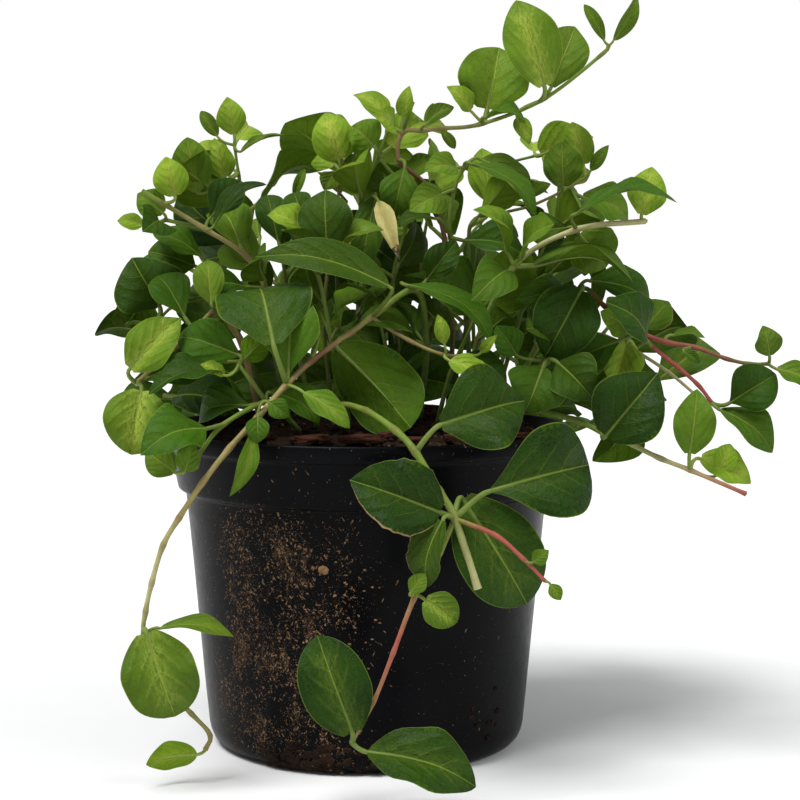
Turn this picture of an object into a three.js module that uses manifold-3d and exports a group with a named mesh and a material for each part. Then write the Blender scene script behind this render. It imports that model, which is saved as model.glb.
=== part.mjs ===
// Greater periwinkle (Vinca) in a round nursery pot.
// Millimetres, +Z up. The origin is the centre of the pot's flat underside and -Y is the front.

import * as THREE from 'three';
import { mergeVertices } from 'three/addons/utils/BufferGeometryUtils.js';
import Module from 'manifold-3d';

const wasm = await Module();
wasm.setup();

// ---- Pot -------------------------------------------------------------------------------

const POT_HEIGHT = 148;
const RIM_RADIUS = 95;          // outside of the lip
const LIP_HEIGHT = 8;           // plain band round the top
const COLLAR_RADIUS = 92;       // outside of the collar, under the lip
const COLLAR_FOOT_RADIUS = 87.5;
const COLLAR_HEIGHT = 28;       // lip included
const WALL_TOP_RADIUS = 84;     // outside of the wall, under the collar
const BASE_RADIUS = 73;
const BASE_CORNER = 8;          // rounded edge of the underside
const WALL = 1.6;
const FLOOR = 2.4;
const DRAIN_HOLES = 8;
const DRAIN_RADIUS = 5;
const DRAIN_CIRCLE = 52;        // radius of the circle that the drain holes stand on
const POT_SIDES = 36;

// ---- Soil and bark ---------------------------------------------------------------------

const SOIL_EDGE_Z = 141;        // where the soil meets the wall
const SOIL_CROWN_Z = 150;       // the mound that the shoots grow from
const SOIL_SHOULDER = 74;       // radius where the mound begins to fall away
const GAP = 0.4;                // clearance between touching pieces

// ---- Leaves and stems ------------------------------------------------------------------

const STEM_SIDES = 4;
const STEM_STEP = 15;           // length of one straight piece of a stem
const STALK_RADIUS = 0.8;
const THICKNESS = { old: 1.5, mature: 1.3, young: 1.1 };
const FOLD = 0.10;              // rise of a blade's edges over its midrib, per width
const ARCH = 0.10;              // rise of a blade's middle over its ends, per length

// Outline of a blade, from its stalk to its tip: place along it, and share of full width.
const OUTLINE = [[0.0, 0.08], [0.3, 0.96], [0.7, 0.68]];
const PLAIN_OUTLINE = [[0.0, 0.08], [0.42, 1.0]];    // of a fill leaf

// Fill leaves, which grow in opposite pairs at the nodes that a shoot lists.
const FILL_LENGTH = [28, 44];
const FILL_WIDTH = 0.74;        // width of a fill leaf, per length
const FILL_STALK = 9;
const FILL_TRIES = 48;
const CLEARANCE = 4.6;          // least distance between sample points of two shoots
const SAMPLE_ROWS = 9;
const STEM_SAMPLE = 4;

// Which way a leaf's upper face looks.
const FRONT = [0, -1, 0.25];
const SKY = [0, -0.35, 1];
const FRONT_UP = [0, -0.8, 0.75];
const LEFT_UP = [-0.6, -0.6, 0.6];
const RIGHT_UP = [0.6, -0.6, 0.6];
const AWAY = [0, 1, 0.15];

// Each shoot is one growth: the points that its stems pass through, each with a radius, then
// its leaves as stalk end, tip, width, facing and age, then the nodes that carry fill pairs
// as [stem, point]. A side stem starts on a point of an earlier stem.
const SHOOTS = [
  {
    name: 'shoot_top_right',
    stems: [
      [1.5, [38, 10, 152], [40, 6, 192], [36, 0, 234], [28, -4, 258], [15, -6, 270], [16, -7, 283],
        [25, -8, 284], [34, -8, 285], [52, -10, 287], [80, -14, 298], [106, -18, 318], [109, -18, 322]],
      [1.2, [16, -7, 283], [21, -7, 297]],
    ],
    leaves: [
      [[55, -6, 294], [61, 0, 323], 33, FRONT, 'mature'],
      [[54, -15, 290], [71, -20, 291], 21, SKY, 'old'],
      [[80, -18, 304], [67, -20, 342], 26, FRONT, 'young'],
      [[84, -10, 304], [96, -2, 333], 22, FRONT, 'mature'],
      [[68, -14, 290], [74, -16, 278], 8, FRONT, 'young'],
      [[107, -18, 324], [98, -16, 341], 6, FRONT, 'mature'],
      [[111, -19, 324], [122, -22, 345], 8, RIGHT_UP, 'mature'],
      [[27, -12, 287], [39, -14, 295], 9, FRONT_UP, 'mature'],
      [[16, -10, 290], [19, -12, 304], 8, FRONT, 'young'],
      [[34, -5, 284], [41, -2, 276], 5, FRONT, 'mature'],
      [[17, -13, 267], [12, -16, 245], 18, FRONT, 'old'],
      [[12, -15, 285], [4, -33, 290], 14, [0.6, -0.7, 0.3], 'young'],
      [[47, -12, 293], [37, -16, 304], 11, [0.4, -0.9, 0.3], 'young'],
      [[27, -2, 286], [35, 17, 291], 16, [0.7, -0.5, 0.4], 'young'],
    ],
    pairs: [[0, 1], [0, 2]],
  },
  {
    name: 'shoot_top_middle',
    stems: [
      [1.3, [6, 12, 152], [-4, 8, 200], [-3, 4, 250], [5, 0, 272], [11, -2, 289]],
    ],
    leaves: [
      [[9, 2, 291], [-6, 4, 302], 14, FRONT_UP, 'young'],
      [[3, -5, 277], [-7, -8, 286], 19, FRONT, 'mature'],
      [[4, -12, 254], [-3, -26, 220], 15, FRONT, 'old'],
      [[18, 4, 262], [33, 8, 273], 12, FRONT_UP, 'mature'],
      [[11, 4, 277], [28, 17, 291], 20, [0.1, -0.9, 0.5], 'young'],
    ],
    pairs: [[0, 1], [0, 2]],
  },
  {
    name: 'shoot_heart_leaf',
    stems: [
      [1.2, [-16, 2, 152], [-20, 4, 200], [-14, 4, 248], [-12, 2, 266], [-7, 3, 275], [1, 5, 277]],
    ],
    leaves: [
      [[-13, -2, 271], [-19, -5, 292], 20, FRONT, 'young'],
      [[-15, 2, 265], [-20, 0, 257], 10, FRONT, 'mature'],
      [[-9, 1, 267], [-4, -1, 274], 6, FRONT, 'mature'],
      [[-34, 5, 254], [-29, 6, 267], 5, FRONT, 'mature'],
      [[-11, 7, 280], [-21, 16, 291], 14, [0.4, -0.9, 0.3], 'young'],
      [[-15, 7, 269], [-22, 21, 276], 14, [-0.8, -0.4, 0.3], 'young'],
    ],
    pairs: [[0, 1]],
  },
  {
    name: 'shoot_upper_left',
    stems: [
      [1.7, [-36, -8, 151], [-40, -14, 190], [-46, -20, 212], [-55, -22, 227], [-73, -24, 239],
        [-91, -26, 250], [-101, -26, 256]],
      [1.5, [-73, -24, 239], [-91, -20, 243]],
    ],
    leaves: [
      [[-71, -20, 244], [-57, -14, 262], 17, FRONT, 'old'],
      [[-69, -29, 240], [-47, -30, 261], 14, LEFT_UP, 'old'],
      [[-86, -28, 254], [-90, -30, 271], 16, FRONT, 'young'],
      [[-92, -22, 246], [-104, -20, 255], 14, FRONT, 'mature'],
      [[-102, -16, 241], [-114, -14, 243], 8, FRONT, 'young'],
      [[-93, -28, 242], [-97, -52, 239], 19, [0.6, -0.5, 0.6], 'old'],
      [[-55, -25, 213], [-73, -34, 214], 15, [0.1, -0.7, 0.7], 'old'],
      [[-58, -16, 232], [-68, 3, 249], 21, [0.2, -0.9, 0.4], 'mature'],
    ],
    pairs: [[0, 2]],
  },
  {
    name: 'shoot_upper_left_back',
    stems: [
      [1.3, [-26, 22, 151], [-44, 22, 205], [-57, 16, 246], [-60, 12, 264], [-62, 12, 278]],
    ],
    leaves: [
      [[-62, 10, 283], [-65, 8, 300], 14, FRONT, 'young'],
      [[-59, 10, 275], [-37, 12, 283], 8, SKY, 'mature'],
      [[-70, 14, 282], [-78, 16, 294], 7, FRONT, 'mature'],
      [[-79, 4, 256], [-83, 0, 281], 19, FRONT, 'mature'],
      [[-66, 8, 263], [-71, 6, 281], 13, FRONT, 'young'],
      [[-61, 21, 281], [-57, 43, 289], 18, [0.5, -0.4, 0.7], 'young'],
      [[-66, 15, 269], [-81, 24, 280], 14, [-0.0, -0.9, 0.5], 'young'],
    ],
    pairs: [[0, 1], [0, 2]],
  },
  {
    name: 'shoot_left_back',
    stems: [
      [1.5, [-44, 8, 150], [-58, 6, 186], [-70, 2, 208], [-78, 0, 218]],
      [1.2, [-70, 2, 208], [-88, -4, 204], [-97, -8, 196]],
    ],
    leaves: [
      [[-80, -2, 222], [-100, -6, 229], 22, FRONT, 'old'],
      [[-76, -6, 226], [-97, -10, 238], 15, FRONT_UP, 'old'],
      [[-95, -14, 204], [-106, -22, 225], 33, FRONT, 'old'],
      [[-84, 7, 221], [-106, 33, 230], 26, [-0.1, -0.8, 0.6], 'old'],
    ],
    pairs: [[0, 1], [0, 2]],
  },
  {
    name: 'shoot_tan_left',
    stems: [
      [1.7, [-48, -26, 151], [-54, -34, 180], [-60, -38, 196], [-67, -40, 203], [-77, -42, 194],
        [-102, -46, 171]],
    ],
    leaves: [
      [[-69, -44, 207], [-71, -38, 226], 14, FRONT, 'mature'],
      [[-104, -52, 178], [-82, -47, 200], 22, FRONT, 'young'],
      [[-99, -52, 168], [-103, -60, 141], 28, FRONT, 'young'],
      [[-97, -41, 173], [-77, -22, 182], 23, [0.3, -0.9, 0.3], 'old'],
      [[-81, -40, 200], [-94, -31, 220], 19, [0.2, -0.9, 0.3], 'old'],
    ],
    pairs: [[0, 1]],
  },
  {
    name: 'shoot_left_rim',
    stems: [
      [1.6, [-30, -48, 150], [-38, -56, 160], [-44, -60, 164], [-62, -73, 155], [-72, -80, 143], [-79, -84, 136]],
      [1.4, [-44, -60, 164], [-50, -58, 172], [-56, -56, 180]],
    ],
    leaves: [
      [[-82, -84, 136], [-94, -84, 145], 14, FRONT, 'mature'],
      [[-77, -87, 137], [-73, -89, 149], 11, FRONT, 'mature'],
      [[-60, -58, 176], [-95, -66, 171], 20, SKY, 'old'],
      [[-57, -50, 184], [-84, -48, 193], 21, FRONT, 'old'],
      [[-54, -48, 182], [-44, -44, 192], 13, AWAY, 'mature'],
      [[-62, -64, 176], [-72, -66, 181], 7, FRONT_UP, 'young'],
      [[-69, -80, 154], [-92, -104, 150], 25, [-0.0, -0.8, 0.6], 'old'],
      [[-42, -59, 168], [-20, -63, 157], 19, [0.3, -0.6, 0.7], 'old'],
      [[-52, -57, 162], [-77, -48, 157], 20, [0.3, -0.7, 0.7], 'old'],
    ],
    pairs: [],
  },
  {
    name: 'shoot_main_runner',
    stems: [
      [1.8, [24, -14, 152], [27, -22, 186], [22, -32, 212], [2, -42, 200], [-8, -48, 193], [-24, -60, 182],
        [-35, -72, 172], [-46, -84, 160], [-58, -92, 147], [-69, -95, 133], [-79, -95, 118], [-86, -94, 106],
        [-91, -92, 90], [-94, -90, 77], [-95, -88, 66], [-90, -82, 46], [-76, -78, 30], [-68, -76, 20],
        [-70, -78, 14]],
      [1.2, [2, -42, 200], [19, -48, 190], [34, -50, 184], [46, -50, 184]],
    ],
    leaves: [
      [[-40, -76, 190], [-48, -52, 219], 42, FRONT_UP, 'old'],
      [[-93, -96, 69], [-81, -98, 33], 32, FRONT, 'mature'],
      [[-88, -90, 70], [-56, -96, 68], 13, SKY, 'mature'],
      [[-73, -82, 13], [-95, -88, 11], 13, AWAY, 'young'],
      [[-42, -84, 166], [-33, -86, 160], 9, FRONT, 'old'],
      [[-46, -90, 160], [-46, -94, 150], 10, FRONT, 'old'],
      [[-48, -91, 154], [-56, -97, 127], 9, RIGHT_UP, 'mature'],
      [[-27, -82, 170], [-7, -90, 156], 12, FRONT_UP, 'young'],
      [[-13, -53, 187], [20, -64, 153], 34, AWAY, 'mature'],
      [[34, -54, 189], [31, -56, 202], 7, FRONT, 'young'],
      [[50, -52, 185], [57, -54, 193], 5, FRONT, 'young'],
      [[36, -58, 182], [55, -64, 172], 12, FRONT_UP, 'young'],
      [[16, -46, 215], [58, -52, 194], 18, SKY, 'old'],
      [[10, -54, 214], [-48, -58, 230], 20, FRONT_UP, 'old'],
      [[-22, -54, 196], [-36, -44, 202], 15, FRONT_UP, 'old'],
      [[27, -34, 217], [39, -39, 233], 15, [-0.0, -1.0, 0.2], 'old'],
      [[-34, -70, 178], [-31, -57, 212], 27, [-0.1, -0.8, 0.5], 'old'],
      [[40, -48, 181], [63, -42, 170], 19, [-0.0, -0.7, 0.7], 'old'],
    ],
    pairs: [[0, 1]],
  },
  {
    name: 'shoot_middle_left',
    stems: [
      [1.5, [-8, -30, 151], [-16, -32, 190], [-22, -30, 218], [-30, -28, 232]],
    ],
    leaves: [
      [[-18, -36, 230], [-19, -34, 257], 25, FRONT, 'old'],
      [[-29, -34, 240], [-44, -36, 246], 17, FRONT_UP, 'young'],
      [[-40, -20, 232], [-46, -10, 257], 15, FRONT, 'old'],
      [[-28, -18, 240], [-34, -8, 257], 13, FRONT, 'old'],
    ],
    pairs: [[0, 1], [0, 2]],
  },
  {
    name: 'shoot_front_runner',
    stems: [
      [1.9, [-10, -46, 151], [-11, -68, 163], [0, -83, 162], [12, -95, 155], [20, -102, 147], [30, -110, 131],
        [36, -112, 121], [46, -114, 91]],
      [1.3, [36, -112, 121], [53, -118, 114], [64, -122, 105], [73, -124, 96]],
      [1.4, [36, -112, 121], [30, -114, 106], [20, -118, 89], [11, -121, 66], [3, -123, 46], [-6, -120, 28]],
    ],
    leaves: [
      [[30, -114, 123], [-7, -118, 137], 31, FRONT, 'old'],
      [[31, -118, 120], [23, -120, 93], 20, LEFT_UP, 'old'],
      [[31, -100, 158], [67, -92, 168], 38, FRONT, 'old'],
      [[50, -110, 131], [95, -100, 142], 40, FRONT, 'old'],
      [[40, -104, 127], [68, -102, 82], 36, FRONT, 'mature'],
      [[68, -124, 104], [74, -126, 109], 7, FRONT, 'mature'],
      [[75, -126, 95], [79, -128, 89], 6, FRONT, 'mature'],
      [[24, -122, 88], [37, -124, 79], 15, FRONT, 'young'],
      [[18, -122, 91], [24, -122, 99], 8, FRONT, 'mature'],
      [[-6, -122, 33], [-20, -126, 73], 29, FRONT, 'mature'],
      [[0, -124, 25], [45, -132, 15], 27, FRONT_UP, 'mature'],
    ],
    pairs: [],
  },
  {
    name: 'shoot_middle_right',
    stems: [
      [1.6, [48, -6, 151], [46, -10, 195], [38, -12, 236], [40, -14, 258], [44, -16, 267]],
    ],
    leaves: [
      [[46, -20, 269], [78, -30, 249], 16, SKY, 'old'],
      [[52, -10, 271], [76, -12, 255], 15, FRONT_UP, 'mature'],
      [[44, -18, 234], [72, -24, 229], 21, FRONT_UP, 'old'],
      [[52, -16, 203], [24, -22, 215], 31, FRONT_UP, 'old'],
      [[31, -20, 244], [14, -26, 242], 11, SKY, 'old'],
      [[40, -21, 267], [27, -37, 266], 14, [0.2, -0.9, 0.4], 'mature'],
      [[34, -21, 255], [20, -37, 248], 16, [0.7, -0.5, 0.5], 'mature'],
    ],
    pairs: [[0, 1]],
  },
  {
    name: 'shoot_right_high',
    stems: [
      [1.2, [52, 18, 151], [50, 16, 200], [48, 8, 240], [61, 4, 246], [76, 2, 250], [91, 0, 257], [101, -2, 263]],
    ],
    leaves: [
      [[90, -6, 259], [89, -10, 279], 19, FRONT, 'mature'],
      [[103, -4, 266], [111, -5, 278], 6, FRONT, 'mature'],
      [[94, 4, 260], [104, 8, 267], 11, FRONT_UP, 'young'],
      [[74, 6, 253], [86, 12, 261], 8, FRONT_UP, 'mature'],
      [[100, 0, 269], [95, 4, 289], 14, [-0.2, -0.8, 0.5], 'young'],
      [[100, 2, 254], [123, 6, 245], 20, [0.7, -0.6, 0.3], 'mature'],
    ],
    pairs: [[0, 1], [0, 2]],
  },
  {
    name: 'shoot_right_high_back',
    stems: [
      [1.2, [40, 34, 151], [50, 36, 205], [56, 32, 250], [64, 28, 268], [80, 24, 274]],
    ],
    leaves: [
      [[82, 20, 274], [106, 16, 283], 24, FRONT, 'young'],
      [[90, 26, 274], [107, 29, 273], 13, [0.4, -0.9, 0.3], 'young'],
      [[80, 34, 276], [80, 52, 281], 14, [0.1, -0.7, 0.7], 'young'],
    ],
    pairs: [[0, 1]],
  },
  {
    name: 'shoot_right_top',
    stems: [
      [1.8, [42, -26, 151], [50, -32, 190], [66, -34, 223], [93, -36, 239], [124, -38, 243]],
    ],
    leaves: [
      [[92, -42, 246], [135, -46, 258], 17, SKY, 'old'],
      [[90, -30, 240], [73, -28, 237], 16, FRONT, 'old'],
      [[95, -32, 237], [108, -30, 222], 25, FRONT, 'mature'],
      [[123, -32, 246], [128, -28, 268], 18, FRONT, 'young'],
      [[69, -40, 227], [80, -64, 242], 24, [-0.6, -0.5, 0.6], 'mature'],
      [[63, -40, 221], [49, -66, 213], 20, [0.1, -0.9, 0.4], 'old'],
    ],
    pairs: [[0, 1], [0, 2]],
  },
  {
    name: 'shoot_right_arch',
    stems: [
      [1.6, [62, -8, 150], [78, -16, 186], [96, -22, 212], [108, -28, 204], [122, -32, 193], [128, -34, 187],
        [139, -38, 178], [148, -42, 170], [154, -44, 162]],
      [1.4, [122, -32, 193], [134, -38, 189], [146, -42, 187], [160, -46, 182], [170, -48, 180], [178, -48, 180]],
      [1.3, [78, -16, 186], [92, -14, 189], [107, -16, 191], [124, -18, 183], [138, -22, 174], [151, -26, 163]],
    ],
    leaves: [
      [[96, -34, 212], [80, -44, 184], 30, FRONT, 'old'],
      [[101, -24, 216], [131, -22, 207], 19, FRONT_UP, 'old'],
      [[117, -38, 195], [104, -44, 203], 15, FRONT, 'mature'],
      [[126, -28, 195], [137, -24, 207], 15, FRONT, 'mature'],
      [[138, -32, 192], [153, -30, 191], 9, SKY, 'mature'],
      [[118, -24, 188], [112, -26, 168], 20, FRONT, 'young'],
      [[141, -46, 185], [147, -50, 181], 5, FRONT, 'old'],
      [[178, -50, 184], [175, -52, 197], 13, FRONT, 'mature'],
      [[181, -52, 178], [196, -58, 172], 13, FRONT_UP, 'mature'],
      [[160, -53, 163], [179, -58, 176], 22, FRONT, 'old'],
      [[156, -50, 160], [180, -58, 144], 17, FRONT_UP, 'old'],
      [[113, -31, 189], [85, -29, 176], 24, [0.2, -0.9, 0.4], 'old'],
      [[112, -10, 195], [125, 8, 205], 18, [0.0, -0.7, 0.7], 'old'],
      [[89, -26, 211], [70, -38, 209], 16, [-0.3, -0.9, 0.1], 'old'],
      [[125, -38, 190], [108, -61, 208], 24, [0.3, -0.8, 0.4], 'old'],
    ],
    pairs: [[0, 1]],
  },
  {
    name: 'shoot_right_runner',
    stems: [
      [1.8, [38, -40, 150], [56, -42, 157], [72, -44, 159], [92, -48, 155], [104, -52, 150], [112, -54, 147], [129, -58, 139],
        [142, -60, 134], [166, -64, 124]],
    ],
    leaves: [
      [[105, -58, 149], [128, -57, 177], 34, FRONT, 'old'],
      [[141, -64, 142], [144, -64, 170], 19, FRONT, 'mature'],
      [[148, -52, 138], [171, -53, 128], 18, FRONT_UP, 'young'],
      [[155, -56, 132], [161, -52, 145], 11, FRONT, 'young'],
      [[80, -39, 159], [98, -28, 158], 15, [0.3, -0.7, 0.7], 'old'],
    ],
    pairs: [],
  },
  {
    name: 'shoot_right_low',
    stems: [
      [1.5, [60, -30, 149], [72, -36, 172], [80, -40, 181]],
    ],
    leaves: [
      [[78, -46, 178], [70, -56, 160], 28, FRONT, 'old'],
      [[85, -46, 180], [99, -56, 166], 24, FRONT, 'old'],
      [[66, -44, 184], [58, -50, 196], 14, FRONT, 'old'],
    ],
    pairs: [],
  },
  {
    name: 'shoot_back_left_low',
    stems: [
      [1.6, [-40, 38, 150], [-58, 54, 172], [-72, 70, 172], [-78, 84, 156], [-80, 94, 134]],
    ],
    leaves: [
      [[-79, 80, 166], [-90, 83, 188], 17, [-0.3, -0.9, 0.4], 'old'],
    ],
    pairs: [[0, 1], [0, 2], [0, 3], [0, 4]],
  },
  {
    name: 'shoot_back_left_high',
    stems: [
      [1.5, [-26, 44, 150], [-36, 56, 186], [-44, 64, 212], [-54, 70, 230]],
    ],
    leaves: [
      [[-41, 69, 218], [-10, 85, 232], 24, [-0.4, -0.8, 0.4], 'old'],
    ],
    pairs: [[0, 1], [0, 2], [0, 3]],
  },
  {
    name: 'shoot_back_middle_low',
    stems: [
      [1.7, [-4, 52, 150], [-8, 74, 170], [-12, 96, 164], [-14, 108, 144], [-16, 114, 118], [-16, 116, 92]],
    ],
    leaves: [],
    pairs: [[0, 1], [0, 2], [0, 3], [0, 4], [0, 5]],
  },
  {
    name: 'shoot_back_middle_high',
    stems: [
      [1.4, [6, 40, 151], [4, 50, 196], [0, 56, 234], [-6, 60, 260]],
    ],
    leaves: [
      [[5, 63, 235], [25, 91, 239], 27, [0.5, -0.8, 0.2], 'old'],
      [[2, 65, 260], [19, 77, 260], 16, [-0.1, -0.9, 0.4], 'mature'],
      [[5, 59, 237], [28, 72, 250], 20, [0.8, -0.5, 0.4], 'mature'],
      [[3, 52, 231], [16, 35, 221], 18, [-0.6, -0.7, 0.4], 'old'],
    ],
    pairs: [[0, 1], [0, 2], [0, 3]],
  },
  {
    name: 'shoot_back_right_low',
    stems: [
      [1.6, [40, 50, 150], [58, 66, 174], [76, 82, 172], [90, 92, 154], [98, 98, 132]],
    ],
    leaves: [
      [[85, 79, 174], [116, 66, 182], 26, [-0.5, -0.6, 0.7], 'old'],
    ],
    pairs: [[0, 1], [0, 2], [0, 3], [0, 4]],
  },
  {
    name: 'shoot_back_right_high',
    stems: [
      [1.4, [24, 46, 151], [34, 60, 196], [46, 70, 228], [62, 76, 248]],
    ],
    leaves: [
      [[61, 78, 254], [58, 85, 280], 21, [0.1, -1.0, 0.2], 'young'],
    ],
    pairs: [[0, 1], [0, 2], [0, 3]],
  },
  {
    name: 'shoot_right_side',
    stems: [
      [1.5, [66, 14, 149], [86, 22, 176], [104, 30, 186], [122, 34, 178], [134, 36, 162]],
    ],
    leaves: [
      [[135, 43, 162], [141, 76, 163], 25, [0.8, -0.4, 0.5], 'old'],
    ],
    pairs: [[0, 1], [0, 2], [0, 3], [0, 4]],
  },
  {
    name: 'shoot_left_side',
    stems: [
      [1.5, [-60, 22, 149], [-78, 28, 176], [-92, 32, 186]],
    ],
    leaves: [],
    pairs: [[0, 1], [0, 2]],
  },
  {
    name: 'shoot_inner_front_left',
    stems: [
      [1.4, [-22, -36, 150], [-29, -38, 176], [-34, -36, 202]],
    ],
    leaves: [],
    pairs: [[0, 1], [0, 2]],
  },
  {
    name: 'shoot_inner_front_middle',
    stems: [
      [1.4, [12, -36, 150], [10, -30, 178], [4, -20, 206]],
    ],
    leaves: [],
    pairs: [[0, 1], [0, 2]],
  },
  {
    name: 'shoot_inner_front_right',
    stems: [
      [1.4, [32, -20, 150], [38, -24, 174], [48, -30, 198]],
    ],
    leaves: [],
    pairs: [[0, 1], [0, 2]],
  },
  {
    name: 'shoot_inner_middle',
    stems: [
      [1.4, [16, 2, 151], [14, 0, 186], [12, 0, 216], [18, 2, 240]],
    ],
    leaves: [],
    pairs: [[0, 1], [0, 2], [0, 3]],
  },
  {
    name: 'shoot_inner_left',
    stems: [
      [1.4, [-32, 8, 151], [-36, 4, 186], [-38, 2, 216], [-42, 0, 240]],
    ],
    leaves: [],
    pairs: [[0, 1], [0, 2], [0, 3]],
  },
  {
    name: 'shoot_inner_right',
    stems: [
      [1.4, [58, 6, 150], [68, 4, 186], [76, 2, 214], [84, 2, 236]],
    ],
    leaves: [],
    pairs: [[0, 1], [0, 2], [0, 3]],
  },
  {
    name: 'shoot_inner_back_left',
    stems: [
      [1.4, [-12, 26, 151], [-14, 28, 190], [-14, 26, 224], [-10, 24, 252]],
    ],
    leaves: [],
    pairs: [[0, 1], [0, 2], [0, 3]],
  },
  {
    name: 'shoot_inner_back_right',
    stems: [
      [1.4, [26, 24, 151], [28, 26, 190], [26, 26, 224], [30, 24, 252]],
    ],
    leaves: [],
    pairs: [[0, 1], [0, 2], [0, 3]],
  },
  {
    name: 'shoot_inner_right_back',
    stems: [
      [1.4, [58, 32, 150], [68, 36, 184], [78, 38, 212], [88, 40, 232]],
    ],
    leaves: [],
    pairs: [[0, 1], [0, 2], [0, 3]],
  },
  {
    name: 'shoot_low_1',
    stems: [[1.4, [-68, 23, 149], [-83, 14, 159], [-95, 7, 161]]],
    leaves: [
      [[-89, 1, 161], [-62, -26, 159], 27, [-0.3, -0.6, 0.7], 'old'],
      [[-88, 6, 161], [-56, 5, 160], 22, [-0.4, -0.6, 0.7], 'old'],
      [[-75, 17, 161], [-39, 27, 173], 28, [0.3, -0.9, 0.4], 'old'],
      [[-90, 15, 158], [-119, 14, 155], 20, [-0.0, -0.7, 0.8], 'old'],
    ],
    pairs: [],
  },
  {
    name: 'shoot_low_2',
    stems: [[1.4, [9, 27, 151], [10, 27, 165], [11, 27, 170]]],
    leaves: [
      [[18, 21, 169], [44, -2, 166], 26, [-0.3, -0.9, 0.2], 'old'],
      [[3, 24, 169], [-34, 14, 165], 28, [0.9, -0.4, 0.2], 'old'],
      [[12, 33, 171], [18, 53, 190], 20, [0.4, -0.9, 0.2], 'old'],
    ],
    pairs: [],
  },
  {
    name: 'shoot_low_3',
    stems: [[1.4, [59, 23, 149], [75, 22, 158], [87, 21, 159]]],
    leaves: [
      [[96, 23, 157], [124, 30, 152], 21, [0.7, -0.5, 0.5], 'old'],
      [[95, 16, 159], [126, -4, 162], 28, [0.1, -0.7, 0.7], 'old'],
      [[77, 30, 162], [88, 57, 177], 25, [0.1, -0.9, 0.5], 'old'],
    ],
    pairs: [],
  },
  {
    name: 'shoot_low_4',
    stems: [[1.4, [14, 62, 149], [18, 68, 171], [21, 73, 183]]],
    leaves: [
      [[27, 79, 182], [54, 106, 180], 30, [0.2, -0.7, 0.7], 'old'],
      [[17, 73, 191], [1, 74, 221], 25, [-0.3, -0.6, 0.8], 'old'],
      [[21, 76, 173], [36, 110, 181], 28, [0.4, -0.8, 0.5], 'old'],
      [[10, 67, 175], [-22, 62, 194], 28, [-0.4, -0.8, 0.4], 'old'],
    ],
    pairs: [],
  },
  {
    name: 'shoot_low_5',
    stems: [[1.4, [-37, 9, 151], [-48, 19, 196], [-57, 27, 228]]],
    leaves: [
      [[-64, 29, 234], [-92, 39, 259], 28, [-0.8, -0.6, 0.2], 'old'],
      [[-63, 34, 227], [-86, 65, 221], 29, [-0.2, -1.0, 0.1], 'old'],
    ],
    pairs: [],
  },
  {
    name: 'shoot_low_6',
    stems: [[1.4, [52, 50, 149], [68, 49, 185], [82, 48, 209]]],
    leaves: [
      [[87, 55, 212], [111, 84, 222], 30, [-0.3, -0.8, 0.6], 'old'],
    ],
    pairs: [],
  },
  {
    name: 'shoot_low_7',
    stems: [[1.4, [-28, 26, 151], [-27, 32, 174], [-25, 37, 188]]],
    leaves: [
      [[-33, 39, 185], [-60, 48, 177], 22, [-0.5, -0.7, 0.4], 'old'],
    ],
    pairs: [],
  },
];

// The one dead leaf: stalk end, tip, width and facing.
const DEAD_LEAF = [[5, -19, 252], [14, -40, 227], 9, FRONT];

// Bark chips on the soil near the front: centre, length, width, thickness and turn in degrees.
const CHIPS = [
  [[-24, -76], 17, 8, 3.5, 12],
  [[-2, -80], 20, 9, 4, -8],
  [[20, -77], 13, 7, 3, 24],
  [[40, -70], 15, 6, 3, -30],
  [[-48, -62], 14, 8, 3.5, 40],
  [[66, -48], 12, 7, 3, -55],
  [[-70, -34], 13, 6, 3, 70],
  [[8, -66], 10, 6, 3, 60],
  [[-66, 44], 14, 8, 3, -40],
  [[30, 74], 16, 7, 3.5, 15],
];

// ---- Helpers ---------------------------------------------------------------------------

const vector = ([x, y, z]) => new THREE.Vector3(x, y, z);

// Small repeatable random numbers from 0 to 1.
let seed = 20;
const random = () => {
  seed = (Math.imul(seed, 1664525) + 1013904223) >>> 0;
  return seed / 4294967296;
};
const between = (low, high) => low + (high - low) * random();

function solid(geometry) {
  const bare = geometry.clone();
  bare.deleteAttribute('normal');
  bare.deleteAttribute('uv');
  const merged = mergeVertices(bare, 1e-4);
  return new wasm.Manifold(new wasm.Mesh({
    numProp: 3,
    vertProperties: new Float32Array(merged.attributes.position.array),
    triVerts: new Uint32Array(merged.index.array),
  }));
}

function geometryOf(body) {
  const mesh = body.getMesh();
  const geometry = new THREE.BufferGeometry();
  geometry.setAttribute('position', new THREE.BufferAttribute(mesh.vertProperties, 3));
  geometry.setIndex(new THREE.BufferAttribute(mesh.triVerts, 1));
  return geometry;
}

function piece(name, geometry, color, roughness) {
  const material = new THREE.MeshStandardMaterial({ color, roughness, metalness: 0 });
  const mesh = new THREE.Mesh(geometry, material);
  mesh.name = name;
  return mesh;
}

// ---- Pot, soil and bark ----------------------------------------------------------------

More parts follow.
